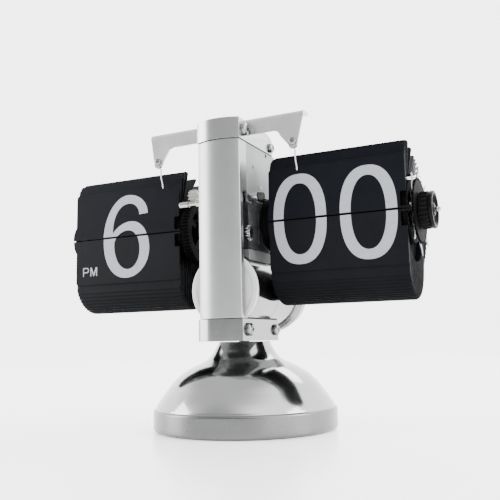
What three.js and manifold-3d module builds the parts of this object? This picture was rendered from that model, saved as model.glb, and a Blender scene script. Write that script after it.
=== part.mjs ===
import * as THREE from 'three';
import { mergeVertices } from 'three/addons/utils/BufferGeometryUtils.js';
import Module from 'manifold-3d';

const wasm = await Module();
wasm.setup();

// ---------- driving dimensions, mm; X right, Y back, Z up, origin under the base centre ----------

// clearances
const GAP = 0.3;
const TURN_GAP = 0.1;

// drum axis, shared by both drums
const AXIS_Y = 6.5;
const AXIS_Z = 106.2;

// leaves
const LEAF_T = 0.5;
const PACK_LEAF_T = 0.4;
const LEAF_L = 26.8;
const LEAF_CHAMFER = 1.8;
const PIN_R = 16.5;
const SPLIT_Z = 105.3;
const FRONT_Y = -10.4;
const FLIP_LEAN = 0.8;
const SPINE_T = 0.7;
const MINUTE_X = [20.6, 91.2];
const HOUR_X = [-104.2, -33.4];
const MINUTE_STEP = 6;
const HOUR_STEP = 7.5;
const TAB_H = 4.2;
const RIGHT_TAB = 1.1;
const LEFT_TAB = 2.2;

// hubs and axle
const AXLE_R = 1.15;
const AXLE_X = [-106.4, 104];
const FLANGE_R = 15.0;
const FLANGE_T = 1.2;
const HUB_R = 5.5;
const HOUR_END_FLANGE = { r: 15, x: [-106.2, -105] };
const MINUTE_END_DRUM = { r: 14.2, x: [13.9, 20.2] };

// minute drum end pieces
const STAR_X = 92.8;
const STAR_T = 0.45;
const STAR_R = 22.2;
const STAR_ARMS = 8;
const WHEEL_X = 93.5;
const WHEEL_T = 0.8;
const WHEEL_R = 16.2;
const WHEEL_TEETH = 48;
const KNOB_X = [94.6, 101.4];
const KNOB_R = 9.3;
const KNOB_FLUTES = 24;

// gear train: tooth counts, modules and planes
const MOD_DRIVE = 0.5;
const MINUTE_TEETH = 38;
const IDLER_TEETH = 28;
const PINION_TEETH = 10;
const DRIVE_X = [5, 7.4];
const PINION_Y = -18;
const PINION_Z = 99.2;
const PINION_SHAFT = { r: 0.75, x: [2, 13.4] };
const MOD_REDUCE = 0.84;
const REDUCE_SMALL = 10;
const REDUCE_BIG = 40;
const REDUCE_X = [-8, -5];
const MOD_HOUR = 0.6;
const HOUR_SMALL = 10;
const HOUR_BIG = 60;
const HOUR_GEAR_X = [-31.4, -27.2];
const ARBOR_ANGLE = 110;
const ARBOR_R = 1;

// base
const BASE_R = 47.5;
const DOME_WALL = 1.7;
const NECK_R = 13.4;
const NECK_TOP = 44.7;
const PAD_R = 45.2;
const PAD_T = 2;
const WEIGHT_R = 40.5;
const WEIGHT_TOP = 11.5;
const BOLT_R = 2.8;
const BOLT_TOP = 49.4;

// column
const COLLAR_HALF = 12.4;
const COLLAR_Y = [-26.4, 18.8];
const COLLAR_Z = [45, 55.8];
const COVER_HALF = 11.9;
const COVER_Y = -25.8;
const COVER_WALL = 1.1;
const COVER_Z = [56.1, 146.8];
const WING_DEPTH = 8.3;
const LIP_DEPTH = 3.2;
const WING_FROM_Z = 121;
const SHELL_HALF = 11.6;
const SHELL_T = 0.9;
const SHELL_Y = [-17, 18.3];
const SHELL_Z = [121, 146.8];
const SHELL_HOLES = [{ r: 0.8, y: -9.2, z: 135.4 }, { r: 1, y: 7.3, z: 145.2 }];
const CAP_HALF = 12.2;
const CAP_Y = [-26.2, 17.4];
const CAP_Z = [147.1, 158];
const BOW = 3.3;
const CAP_EDGE = 1.3;

// battery housing
const BAT_Z = 70.7;
const BAT_R = 18.75;
const BAT_WALL = 1.2;
const BAT_FRONT = -22;
const BAT_DISC_T = 1.6;
const BAT_REAR = 33;
const RIM_R = 20.6;
const CELL_R = 17.1;
const CELL_Y = [-16.6, 43.4];
const CELL_NUB = 1.5;
const CAP_REAR_Y = 47.2;

// balance beam
const BEAM_Y = -16.6;
const BEAM_T = 1.2;
const BEAM_TOP = 159.5;
const BEAM_LOW = 150.8;
const ARM_TIP_Z = 140.2;
const ARM_FILLET = 4;
const FLANGE_DEPTH = 8;
const LEFT_ARM = { outer: -47.2, inner: -36.8, tipOut: -45, tipIn: -40.4 };
const RIGHT_ARM = { outer: 43.4, inner: 30.6, tipOut: 39.6, tipIn: 35 };
const FINGER_SCREW_Z = 143.6;
const WIRE_R = 0.4;

const DEG = Math.PI / 180;

// ---------- helpers ----------

function solid(geometry) {
  const g = geometry.clone();
  g.deleteAttribute('normal');
  g.deleteAttribute('uv');
  const m = mergeVertices(g, 1e-4);
  return new wasm.Manifold(new wasm.Mesh({
    numProp: 3,
    vertProperties: new Float32Array(m.attributes.position.array),
    triVerts: new Uint32Array(m.index.array),
  }));
}

function surface(body) {
  const mesh = body.getMesh();
  const g = new THREE.BufferGeometry();
  g.setAttribute('position', new THREE.BufferAttribute(new Float32Array(mesh.vertProperties), 3));
  g.setIndex(new THREE.BufferAttribute(new Uint32Array(mesh.triVerts), 1));
  const flat = g.toNonIndexed();
  flat.computeVertexNormals();
  return flat;
}

function fuse(first, ...rest) {
  return rest.reduce((sum, next) => sum.add(next), first);
}

function cut(first, ...rest) {
  return rest.reduce((sum, next) => sum.subtract(next), first);
}

function box(x0, x1, y0, y1, z0, z1) {
  const g = new THREE.BoxGeometry(x1 - x0, y1 - y0, z1 - z0);
  g.translate((x0 + x1) / 2, (y0 + y1) / 2, (z0 + z1) / 2);
  return solid(g);
}

function rodX(r, x0, x1, y, z, seg = 24, r2 = r) {
  const g = new THREE.CylinderGeometry(r2, r, x1 - x0, seg);
  g.rotateZ(-Math.PI / 2);
  g.translate((x0 + x1) / 2, y, z);
  return solid(g);
}

function rodY(r, y0, y1, x, z, seg = 24, r2 = r) {
  const g = new THREE.CylinderGeometry(r2, r, y1 - y0, seg);
  g.translate(x, (y0 + y1) / 2, z);
  return solid(g);
}

function rodZ(r, z0, z1, x, y, seg = 24, r2 = r) {
  const g = new THREE.CylinderGeometry(r2, r, z1 - z0, seg);
  g.rotateX(Math.PI / 2);
  g.translate(x, y, (z0 + z1) / 2);
  return solid(g);
}

function shapeOf(points) {
  return new THREE.Shape(points.map(([a, b]) => new THREE.Vector2(a, b)));
}

// outline in (Y, Z), pulled along X
function pullX(points, x0, x1) {
  const g = new THREE.ExtrudeGeometry(shapeOf(points), { depth: x1 - x0, bevelEnabled: false });
  const yAxis = new THREE.Vector3(0, 1, 0);
  const zAxis = new THREE.Vector3(0, 0, 1);
  const xAxis = new THREE.Vector3(1, 0, 0);
  g.applyMatrix4(new THREE.Matrix4().makeBasis(yAxis, zAxis, xAxis));
  g.translate(x0, 0, 0);
  return solid(g);
}

// outline in (X, Z), pulled along Y from y0 back to y1
function pullY(points, y0, y1) {
  const g = new THREE.ExtrudeGeometry(shapeOf(points), { depth: y1 - y0, bevelEnabled: false });
  g.rotateX(Math.PI / 2);
  g.translate(0, y1, 0);
  return solid(g);
}

// outline in (X, Y), pulled along Z
function pullZ(points, z0, z1) {
  const g = new THREE.ExtrudeGeometry(shapeOf(points), { depth: z1 - z0, bevelEnabled: false });
  g.translate(0, 0, z0);
  return solid(g);
}

function roundedRect(x0, x1, y0, y1, radii, steps = 4) {
  const [sw, se, ne, nw] = radii;
  const corners = [
    [x0 + sw, y0 + sw, sw, 180],
    [x1 - se, y0 + se, se, 270],
    [x1 - ne, y1 - ne, ne, 0],
    [x0 + nw, y1 - nw, nw, 90],
  ];
  const points = [];
  for (const [cx, cy, r, from] of corners) {
    const count = r > 0 ? steps : 0;
    for (let i = 0; i <= count; i += 1) {
      const a = (from + (90 * i) / Math.max(count, 1)) * DEG;
      points.push([cx + r * Math.cos(a), cy + r * Math.sin(a)]);
    }
  }
  return points;
}

// plan outline with a bowed front between sharp front corners and rounded rear corners
function bowedPlan(half, y0, y1, rearRadius, inset = 0) {
  const bowR = (half ** 2 + BOW ** 2) / (2 * BOW);
  const centreY = y0 - BOW + bowR;
  const r = bowR - inset;
  const x = half - inset;
  const reach = Math.asin(x / r);
  const points = [];
  const steps = 8;
  for (let i = 0; i <= steps; i += 1) {
    const a = -reach + (2 * reach * i) / steps;
    points.push([r * Math.sin(a), centreY - r * Math.cos(a)]);
  }
  const rear = roundedRect(-x, x, y0, y1, [0, 0, rearRadius, rearRadius]);
  return [...points, ...rear.slice(2)];
}

function lathe(points, seg) {
  const g = new THREE.LatheGeometry(points.map(([r, h]) => new THREE.Vector2(r, h)), seg);
  g.rotateX(Math.PI / 2);
  return solid(g);
}

// toothed outline centred on (cy, cz); phase turns it, in teeth; pointed teeth on the enclosed wheels
const FULL_TOOTH = [[-0.34, 0], [-0.13, 1], [0.13, 1], [0.34, 0]];
const POINTED_TOOTH = [[-0.5, 0], [0, 1]];
function gearOutline(teeth, module, cy, cz, phase = 0, tooth = FULL_TOOTH) {
  const tip = (teeth * module) / 2 + module * 0.9;
  const root = (teeth * module) / 2 - module * 1.1;
  const points = [];
  for (let i = 0; i < teeth; i += 1) {
    const base = ((i + phase) / teeth) * 360;
    const pitch = 360 / teeth;
    for (const [share, high] of tooth) {
      const r = high ? tip : root;
      const a = (base + share * pitch) * DEG;
      points.push([cy + r * Math.cos(a), cz + r * Math.sin(a)]);
    }
  }
  return points;
}

function zigzagOutline(count, rOut, rIn, cy, cz) {
  const points = [];
  for (let i = 0; i < count * 2; i += 1) {
    const a = (i / (count * 2)) * 2 * Math.PI;
    const r = i % 2 ? rIn : rOut;
    points.push([cy + r * Math.cos(a), cz + r * Math.sin(a)]);
  }
  return points;
}

function wire(points, r, segments, sides = 6) {
  const circle = [];
  for (let i = 0; i < sides; i += 1) {
    const a = (i / sides) * 2 * Math.PI;
    circle.push([r * Math.cos(a), r * Math.sin(a)]);
  }
  const path = new THREE.CatmullRomCurve3(points.map((p) => new THREE.Vector3(...p)));
  return solid(new THREE.ExtrudeGeometry(shapeOf(circle), { steps: segments, extrudePath: path }));
}

const group = new THREE.Group();
group.name = 'flip_number_clock';

function add(name, body, color, metalness, roughness, extra = {}) {
  const material = new THREE.MeshStandardMaterial({ color, metalness, roughness, ...extra });
  material.name = `${name}_mat`;
  const mesh = new THREE.Mesh(surface(body), material);
  mesh.name = name;
  group.add(mesh);
}

const CHROME = [0xd4d6d9, 1, 0.12];
const SATIN = [0xb9bcc0, 1, 0.35];
const STEEL = [0xa3a6aa, 1, 0.3];
const BLACK = [0x1c1d20, 0, 0.5];
const LEAF = [0x24262b, 0, 0.6];

// ---------- base ----------

const domeOuter = [
  [BASE_R - 1.2, 0.4], [BASE_R, 1.6], [BASE_R, 10.8], [46.4, 11.9], [43.6, 15.5], [41, 19.7],
  [37.4, 24.4], [33.3, 28.5], [28.1, 31.6], [23, 33.7], [19.4, 35.8], [17.2, 38], [15.2, 41.2],
  [NECK_R, NECK_TOP],
];
const domeInner = [
  [BOLT_R + GAP, NECK_TOP], [BOLT_R + GAP, 43.1], [12.2, 43.1], [15, 38.6], [18.4, 34.3],
  [27.3, 30], [36, 23.2], [42, 14.6], [BASE_R - DOME_WALL, 10.2], [BASE_R - DOME_WALL, 0.4],
];
add('base_dome', lathe([...domeOuter, ...domeInner, domeOuter[0]], 32), ...CHROME);
add('base_pad', rodZ(PAD_R, 0, PAD_T, 0, 0, 36), 0x2b2b2d, 0, 0.9);

const HEAD_R = 6;
const HEAD_H = 4;
const HEAD_Z = PAD_T + 1;
const weight = rodZ(WEIGHT_R, PAD_T + GAP, WEIGHT_TOP, 0, 0, 32);
const weightBore = rodZ(BOLT_R + GAP, 0, 20, 0, 0, 20);
const weightSeat = rodZ(HEAD_R + 1, 0, HEAD_Z + HEAD_H + GAP, 0, 0, 20);
add('base_weight', cut(weight, weightBore, weightSeat), 0x55585c, 0.6, 0.6);

const bolt = fuse(
  rodZ(HEAD_R, HEAD_Z, HEAD_Z + HEAD_H, 0, 0, 6),
  rodZ(BOLT_R, HEAD_Z + HEAD_H - 0.5, BOLT_TOP, 0, 0, 20),
);
add('base_bolt', bolt, ...STEEL);

const SPACER_R = 5.4;
const spacer = cut(
  rodZ(SPACER_R, WEIGHT_TOP + GAP, 42.8, 0, 0, 20),
  rodZ(BOLT_R + GAP, 0, 60, 0, 0, 20),
);
add('base_spacer', spacer, ...STEEL);

// ---------- screws on the collar and the cap ----------

const SCREW_SHANK_R = 1.25;
const SCREW_SHANK_L = 4.2;
const SCREW_HEAD_T = 1.5;
const sideScrews = [
  { name: 'collar_screw_front', y: -19.6, z: 50.6, r: 3.3, face: COLLAR_HALF },
  { name: 'collar_screw_rear', y: 12.6, z: 50.6, r: 3, face: COLLAR_HALF },
  { name: 'cap_screw_front', y: -20.6, z: 152.6, r: 3.3, face: CAP_HALF },
  { name: 'cap_screw_rear', y: 12.4, z: 150.8, r: 2.7, face: CAP_HALF },
];

// round head with a crossed recess, axis along X
function sideScrew({ y, z, r, face }, side) {
  const seat = side * (face + 0.05);
  const outer = side * (face + SCREW_HEAD_T);
  const dome = side > 0
    ? rodX(r, seat, outer, y, z, 14, r * 0.72)
    : rodX(r * 0.72, outer, seat, y, z, 14, r);
  const end = side * (face - SCREW_SHANK_L);
  const shank = rodX(SCREW_SHANK_R, Math.min(seat, end), Math.max(seat, end), y, z, 8);
  const deep = side * (face + 0.6);
  const x0 = Math.min(deep, outer + side);
  const x1 = Math.max(deep, outer + side);
  const arm = r * 0.42;
  const slotA = box(x0, x1, y - arm, y + arm, z - 0.35, z + 0.35);
  const slotB = box(x0, x1, y - 0.35, y + 0.35, z - arm, z + arm);
  return cut(fuse(dome, shank), slotA, slotB);
}

function screwBores(face, screws) {
  const reach = face + 1;
  const depth = face - SCREW_SHANK_L - GAP;
  return screws.flatMap(({ y, z }) => [
    rodX(SCREW_SHANK_R + GAP, depth, reach, y, z, 10),
    rodX(SCREW_SHANK_R + GAP, -reach, -depth, y, z, 10),
  ]);
}

for (const screw of sideScrews) {
  add(`${screw.name}_right`, sideScrew(screw, 1), ...CHROME);
  add(`${screw.name}_left`, sideScrew(screw, -1), ...CHROME);
}

// ---------- collar, cradled to the battery housing ----------

const collarBlock = pullZ(
  bowedPlan(COLLAR_HALF, COLLAR_Y[0], COLLAR_Y[1], 2.6),
  COLLAR_Z[0],
  COLLAR_Z[1],
);
const FRONT_WALL_Y = COVER_Y + LIP_DEPTH + 0.3;
const cradle = rodY(BAT_R + GAP, FRONT_WALL_Y, COLLAR_Y[1] + 1, 0, BAT_Z, 36);
const boltHole = rodZ(BOLT_R + GAP, COLLAR_Z[0] - 1, BOLT_TOP + GAP, 0, 0, 20);
add('bottom_collar', cut(collarBlock, cradle, boltHole, ...screwBores(COLLAR_HALF, sideScrews.slice(0, 2))),
  ...CHROME);

// ---------- column front cover and upper side shell ----------

const coverOuter = bowedPlan(COVER_HALF, COVER_Y, COVER_Y + WING_DEPTH, 0);
const coverInner = bowedPlan(COVER_HALF, COVER_Y, COVER_Y + WING_DEPTH + 1, 0, COVER_WALL);
const wingCut = box(-20, 20, COVER_Y + LIP_DEPTH, 0, 0, WING_FROM_Z);
const cover = cut(
  pullZ(coverOuter, COVER_Z[0], COVER_Z[1]),
  pullZ(coverInner, COVER_Z[0] - 1, COVER_Z[1] + 1),
  wingCut,
);
add('column_front_cover', cover, ...SATIN);

const arborY = AXIS_Y + Math.cos(ARBOR_ANGLE * DEG) * (MOD_HOUR * (HOUR_SMALL + HOUR_BIG)) / 2;
const arborZ = AXIS_Z + Math.sin(ARBOR_ANGLE * DEG) * (MOD_HOUR * (HOUR_SMALL + HOUR_BIG)) / 2;
const TAB_Y = [-17, -12];
const TAB_Z = 115.5;
const POST_Y = -14.8;
const POST_Z = 118.2;
const POST_STEM_R = 1.1;

function sidePlate(side) {
  const x0 = side > 0 ? SHELL_HALF - SHELL_T : -SHELL_HALF;
  const x1 = x0 + SHELL_T;
  return fuse(
    box(x0, x1, SHELL_Y[0], SHELL_Y[1], SHELL_Z[0], SHELL_Z[1]),
    box(x0, x1, TAB_Y[0], TAB_Y[1], TAB_Z, SHELL_Z[0] + 1),
  );
}

const shell = cut(
  fuse(
    sidePlate(1),
    sidePlate(-1),
    box(-SHELL_HALF, SHELL_HALF, SHELL_Y[1] - SHELL_T, SHELL_Y[1], SHELL_Z[0], SHELL_Z[1]),
  ),
  rodX(ARBOR_R + TURN_GAP, -20, 20, arborY, arborZ, 16),
  ...SHELL_HOLES.map(({ r, y, z }) => rodX(r, 0, 20, y, z, 12)),
  rodX(POST_STEM_R + GAP, -20, 20, POST_Y, POST_Z, 12),
);
add('column_upper_shell', shell, 0xc3c6ca, 0.9, 0.42);

// stop posts, one each side, stem through the shell tab
const STEM_REACH = 2.4;
const STEM_LAP = 0.5;
const LEFT_POST = [
  { r: 2.2, x: [-19.2, -SHELL_HALF - GAP] },
  { r: 1.1, x: [-24.4, -19] },
  { r: 1.7, x: [-29.6, -24.2] },
];
const leftPost = fuse(
  rodX(POST_STEM_R, -SHELL_HALF - GAP - STEM_LAP, -SHELL_HALF + STEM_REACH, POST_Y, POST_Z, 12),
  ...LEFT_POST.map(({ r, x }) => rodX(r, x[0], x[1], POST_Y, POST_Z, 16)),
);
add('stop_post_left', leftPost, ...CHROME);
const RIGHT_POST = [
  { r: 2.3, x: [SHELL_HALF + GAP, 17] },
  { r: 1.1, x: [16.8, 19.3] },
];
const BOOT_X = [17.3, 20.1];
const rightPost = fuse(
  rodX(POST_STEM_R, SHELL_HALF - STEM_REACH, SHELL_HALF + GAP + STEM_LAP, POST_Y, POST_Z, 12),
  ...RIGHT_POST.map(({ r, x }) => rodX(r, x[0], x[1], POST_Y, POST_Z, 12)),
);
add('stop_post_right', rightPost, ...CHROME);
const postTip = cut(
  rodX(2, BOOT_X[0], BOOT_X[1], POST_Y, POST_Z, 16, 1.6),
  rodX(RIGHT_POST[1].r + GAP, BOOT_X[0] - 1, RIGHT_POST[1].x[1] + GAP, POST_Y, POST_Z, 12),
);
add('stop_post_tip', postTip, 0x17181a, 0, 0.7);

// ---------- top cap ----------

const CAP_FRONT = CAP_Y[0] - BOW - 1;
const capSide = [
  [CAP_FRONT, CAP_Z[0]], [CAP_Y[1], CAP_Z[0]], [CAP_Y[1], 150.6], [16.2, 153.6], [13.4, 156.2], [9.6, 157.6],
  [5.5, CAP_Z[1]], [CAP_FRONT, CAP_Z[1]],
];
const capPlan = new THREE.ExtrudeGeometry(shapeOf(bowedPlan(CAP_HALF, CAP_Y[0], CAP_Y[1], 3)), {
  depth: CAP_Z[1] - CAP_Z[0],
  bevelThickness: CAP_EDGE,
  bevelSize: CAP_EDGE,
  bevelOffset: -CAP_EDGE,
  bevelSegments: 2,
});
capPlan.translate(0, 0, CAP_Z[0] - CAP_EDGE);
const capBlock = pullX(capSide, -CAP_HALF, CAP_HALF).intersect(solid(capPlan));
const CAP_HOLLOW = { half: 7, y: [-13, 10], top: 154 };
const capHollow = box(-CAP_HOLLOW.half, CAP_HOLLOW.half, ...CAP_HOLLOW.y, CAP_Z[0] - 1, CAP_HOLLOW.top);
const webSlot = box(-20, 20, BEAM_Y - GAP, BEAM_Y + BEAM_T + GAP, BEAM_LOW - GAP, CAP_Z[1] + 1);
add('top_cap', cut(capBlock, capHollow, webSlot, ...screwBores(CAP_HALF, sideScrews.slice(2))), ...CHROME);

// ---------- balance beam ----------

function armOutline() {
  const fillet = [];
  const sweep = (cx, cz, r, from, to) => {
    const steps = 4;
    for (let i = 0; i <= steps; i += 1) {
      const a = (from + ((to - from) * i) / steps) * DEG;
      fillet.push([cx + r * Math.cos(a), cz + r * Math.sin(a)]);
    }
  };
  const r = ARM_FILLET;
  fillet.push([LEFT_ARM.outer, BEAM_TOP]);
  fillet.push([LEFT_ARM.tipOut, ARM_TIP_Z + 1]);
  fillet.push([LEFT_ARM.tipOut + 1, ARM_TIP_Z]);
  fillet.push([LEFT_ARM.tipIn - 1, ARM_TIP_Z]);
  fillet.push([LEFT_ARM.tipIn, ARM_TIP_Z + 1]);
  sweep(LEFT_ARM.inner + r, BEAM_LOW - r, r, 165, 90);
  sweep(RIGHT_ARM.inner - r, BEAM_LOW - r, r, 90, 15);
  fillet.push([RIGHT_ARM.tipIn, ARM_TIP_Z + 1]);
  fillet.push([RIGHT_ARM.tipIn + 1, ARM_TIP_Z]);
  fillet.push([RIGHT_ARM.tipOut - 1, ARM_TIP_Z]);
  fillet.push([RIGHT_ARM.tipOut, ARM_TIP_Z + 1]);
  fillet.push([RIGHT_ARM.outer, BEAM_TOP]);
  return fillet;
}

const fingers = [
  { name: 'hour', x: (LEFT_ARM.tipOut + LEFT_ARM.tipIn) / 2 },
  { name: 'minute', x: (RIGHT_ARM.tipOut + RIGHT_ARM.tipIn) / 2 },
];
const BEAM_HOLE_R = 1;
const beam = cut(
  fuse(
    pullY(armOutline(), BEAM_Y, BEAM_Y + BEAM_T),
    box(LEFT_ARM.outer, RIGHT_ARM.outer, BEAM_Y, BEAM_Y + FLANGE_DEPTH, CAP_Z[1] + GAP, BEAM_TOP),
  ),
  ...fingers.map(({ x }) => rodY(BEAM_HOLE_R + GAP, BEAM_Y - 1, BEAM_Y + BEAM_T + 1, x, FINGER_SCREW_Z, 12)),
);
add('balance_beam', beam, ...SATIN);

const FINGER_Y = BEAM_Y + BEAM_T + 0.9;
const LOOP_R = 1.9;
const FINGER_HEAD = { r: 2, t: 1.25 };
const CROSS = { arm: 1.2, half: 0.3, depth: 0.6 };
for (const { name, x } of fingers) {
  const face = BEAM_Y - 0.05;
  const head = rodY(FINGER_HEAD.r, face - FINGER_HEAD.t, face, x, FINGER_SCREW_Z, 18);
  const shank = rodY(BEAM_HOLE_R, face - 0.5, FINGER_Y + 1.2, x, FINGER_SCREW_Z, 12);
  const deep = face - FINGER_HEAD.t + CROSS.depth;
  const slot = (w, h) => box(x - w, x + w, BEAM_Y - 2, deep, FINGER_SCREW_Z - h, FINGER_SCREW_Z + h);
  const slotA = slot(CROSS.arm, CROSS.half);
  const slotB = slot(CROSS.half, CROSS.arm);
  add(`${name}_finger_screw`, cut(fuse(head, shank), slotA, slotB), ...CHROME);

  const loop = [];
  for (let i = 0; i <= 8; i += 1) {
    const a = (60 + (i * 260) / 8) * DEG;
    loop.push([x - LOOP_R * Math.cos(a), FINGER_Y, FINGER_SCREW_Z + LOOP_R * Math.sin(a)]);
  }
  loop.push([x + 0.3, FINGER_Y + 0.1, FINGER_SCREW_Z - 3.4]);
  loop.push([x, FINGER_Y + 0.8, 138]);
  loop.push([x, -13, 134.6]);
  loop.push([x, -12.5, 133.1]);
  add(`${name}_finger`, wire(loop, WIRE_R, 26, 5), ...STEEL);
}

// ---------- battery housing ----------

const frontDisc = cut(
  rodY(BAT_R, BAT_FRONT, BAT_FRONT + BAT_DISC_T, 0, BAT_Z, 36),
  rodY(BAT_R - 3, BAT_FRONT - 1, BAT_FRONT + 0.5, 0, BAT_Z, 36),
);
add('battery_front_disc', frontDisc, 0xd9dbdd, 0.4, 0.35);
const tubeFront = BAT_FRONT + BAT_DISC_T + GAP;
const housing = cut(
  fuse(
    rodY(BAT_R, tubeFront, BAT_REAR, 0, BAT_Z, 36),
    rodY(RIM_R, BAT_REAR - 2, BAT_REAR, 0, BAT_Z, 36),
  ),
  rodY(BAT_R - BAT_WALL, tubeFront + BAT_WALL, BAT_REAR + 1, 0, BAT_Z, 36),
);
add('battery_housing', housing, ...CHROME);

const capOuter = [
  [0, BAT_REAR + GAP], [RIM_R + 0.3, BAT_REAR + GAP], [RIM_R + 0.3, 36.4], [19.6, 37.6], [19.2, 43.2],
  [17.6, 45.8], [14.5, CAP_REAR_Y], [0, CAP_REAR_Y],
];
const rearCapBlock = new THREE.LatheGeometry(capOuter.map(([r, h]) => new THREE.Vector2(r, h)), 36);
rearCapBlock.translate(0, 0, BAT_Z);
const COIN_SLOT = { half: 9, depth: 0.9, halfWidth: 1 };
const coinSlot = box(
  -COIN_SLOT.half,
  COIN_SLOT.half,
  CAP_REAR_Y - COIN_SLOT.depth,
  CAP_REAR_Y + 1,
  BAT_Z - COIN_SLOT.halfWidth,
  BAT_Z + COIN_SLOT.halfWidth,
);
const rearCap = cut(
  solid(rearCapBlock),
  rodY(CELL_R + 0.4, BAT_REAR - 1, CELL_Y[1] + CELL_NUB + 0.9, 0, BAT_Z, 36),
  coinSlot,
);
add('battery_rear_cap', rearCap, ...CHROME);

const CELL_NUB_R = 4.7;
const CONTACT = { r: 7, gap: 0.25, t: 0.4 };
const cell = fuse(
  rodY(CELL_R, ...CELL_Y, 0, BAT_Z, 36),
  rodY(CELL_NUB_R, CELL_Y[1] - 0.5, CELL_Y[1] + CELL_NUB, 0, BAT_Z, 20),
);
add('battery_cell', cell, 0x3b5f8a, 0.3, 0.4);
const contactY = CELL_Y[1] + CELL_NUB + CONTACT.gap;
add('contact_plate', rodY(CONTACT.r, contactY, contactY + CONTACT.t, 0, BAT_Z, 20), ...STEEL);

const coil = [];
const COIL_STEPS = 24;
const COIL_TURNS = 2;
const COIL_R = 8.5;
const COIL_TAPER = 3.6;
const COIL_RISE = 0.9;
for (let i = 0; i <= COIL_STEPS; i += 1) {
  const a = (i / COIL_STEPS) * COIL_TURNS * 2 * Math.PI;
  const r = COIL_R - (i / COIL_STEPS) * COIL_TAPER;
  const y = tubeFront + BAT_WALL + 0.5 + (i / COIL_STEPS) * COIL_RISE;
  coil.push([r * Math.cos(a), y, BAT_Z + r * Math.sin(a)]);
}
add('contact_spring', wire(coil, 0.35, 36, 5), ...STEEL);

// ---------- movement chassis, gearbox and motor ----------

const SADDLE_Z = [84, 91.4];
const CHASSIS_Y = [-15.6, 18.6];
const PLATE_T = 0.9;
const PLATE_FROM_Z = 88;
const LEFT_PLATE_TOP = 115;
const chassis = cut(
  fuse(
    box(-SHELL_HALF, SHELL_HALF, ...CHASSIS_Y, ...SADDLE_Z),
    box(-SHELL_HALF, -SHELL_HALF + PLATE_T, ...CHASSIS_Y, PLATE_FROM_Z, LEFT_PLATE_TOP),
    box(-SHELL_HALF, SHELL_HALF, CHASSIS_Y[1] - PLATE_T, CHASSIS_Y[1], PLATE_FROM_Z, SHELL_Z[0] - GAP),
  ),
  rodY(BAT_R + GAP, -40, 40, 0, BAT_Z, 36),
  rodX(AXLE_R + TURN_GAP, -20, 0, AXIS_Y, AXIS_Z, 16),
);
add('movement_chassis', chassis, 0xb4b7bb, 0.9, 0.4);

const BOX_X = [-11.4, 11.4];
const BOX_Y = [-22, -16];
const BOX_Z = [91.8, 115];
const BOX_WALL = 0.8;
const gearboxFront = cut(
  box(BOX_X[0], BOX_X[1], BOX_Y[0], BOX_Y[1], BOX_Z[0], BOX_Z[1]),
  box(BOX_X[0] + BOX_WALL, BOX_X[1] - BOX_WALL, BOX_Y[0] + BOX_WALL, BOX_Y[1] + 1,
    BOX_Z[0] + BOX_WALL, BOX_Z[1] - BOX_WALL),
  rodX(PINION_SHAFT.r + TURN_GAP, 5, 20, PINION_Y, PINION_Z, 16),
);
add('gearbox_front', gearboxFront, ...BLACK);

const COVER_X = [1.4, 11.4];
const COVER_SIDE_T = 1.1;
const COVER_BACK = 17.4;
const HUMP_Y = -7;
const HUMP_Z = 118;
const gearboxCover = cut(
  fuse(
    box(COVER_X[0], COVER_X[1], BOX_Y[1] + GAP, COVER_BACK, BOX_Z[0], BOX_Z[1]),
    box(COVER_X[0], COVER_X[1], HUMP_Y, COVER_BACK, BOX_Z[0], HUMP_Z),
  ),
  box(COVER_X[0] - 1, COVER_X[1] - COVER_SIDE_T, BOX_Y[1] - 1, COVER_BACK - BOX_WALL,
    BOX_Z[0] + BOX_WALL, BOX_Z[1] - BOX_WALL),
  box(COVER_X[0] - 1, COVER_X[1] - COVER_SIDE_T, HUMP_Y + BOX_WALL, COVER_BACK - BOX_WALL,
    BOX_Z[0] + BOX_WALL, HUMP_Z - BOX_WALL),
  rodX(AXLE_R + TURN_GAP, 5, 20, AXIS_Y, AXIS_Z, 16),
);
const RIB = 0.5;
const RIB_W = 0.7;
const RIB_Y = [-14, -3.5];
const RIB_Z = [95, 112];
const RIB_MID_Z = 104;
function rib(y0, y1, z0, z1) {
  return box(COVER_X[1] - 0.4, COVER_X[1] + RIB, y0, y1, z0, z1);
}
const ribs = [
  rib(RIB_Y[0], RIB_Y[0] + RIB_W, ...RIB_Z),
  rib(RIB_Y[1] - RIB_W, RIB_Y[1], ...RIB_Z),
  rib(...RIB_Y, RIB_Z[1] - RIB_W, RIB_Z[1]),
  rib(...RIB_Y, RIB_MID_Z - RIB_W, RIB_MID_Z),
];
add('gearbox_cover', fuse(gearboxCover, ...ribs), 0x3c3f44, 0, 0.25, { transparent: true, opacity: 0.55 });

// idler centre from its two mesh distances
const toMinute = (MOD_DRIVE * (MINUTE_TEETH + IDLER_TEETH)) / 2;
const toPinion = (MOD_DRIVE * (IDLER_TEETH + PINION_TEETH)) / 2;
const spanY = PINION_Y - AXIS_Y;
const spanZ = PINION_Z - AXIS_Z;
const span = Math.hypot(spanY, spanZ);
const along = (toMinute ** 2 - toPinion ** 2 + span ** 2) / (2 * span);
const aside = Math.sqrt(toMinute ** 2 - along ** 2);
const idlerY = AXIS_Y + (spanY * along + spanZ * aside) / span;
const idlerZ = AXIS_Z + (spanZ * along - spanY * aside) / span;

const MOTOR_R = 5.2;
const MOTOR_X = [-10.2, 0.4];
const IDLER_SHAFT = { r: 0.7, x: [-1.2, 9.9] };
const IDLER_BOSS = { r: 2, x: [1.4, 5.2] };
const motor = cut(
  rodX(MOTOR_R, ...MOTOR_X, idlerY, idlerZ, 24),
  rodX(IDLER_SHAFT.r + TURN_GAP, IDLER_SHAFT.x[0] - 0.4, MOTOR_X[1] + 0.6, idlerY, idlerZ, 12),
);
add('motor_can', motor, 0x8d9094, 0.9, 0.35);

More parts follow.
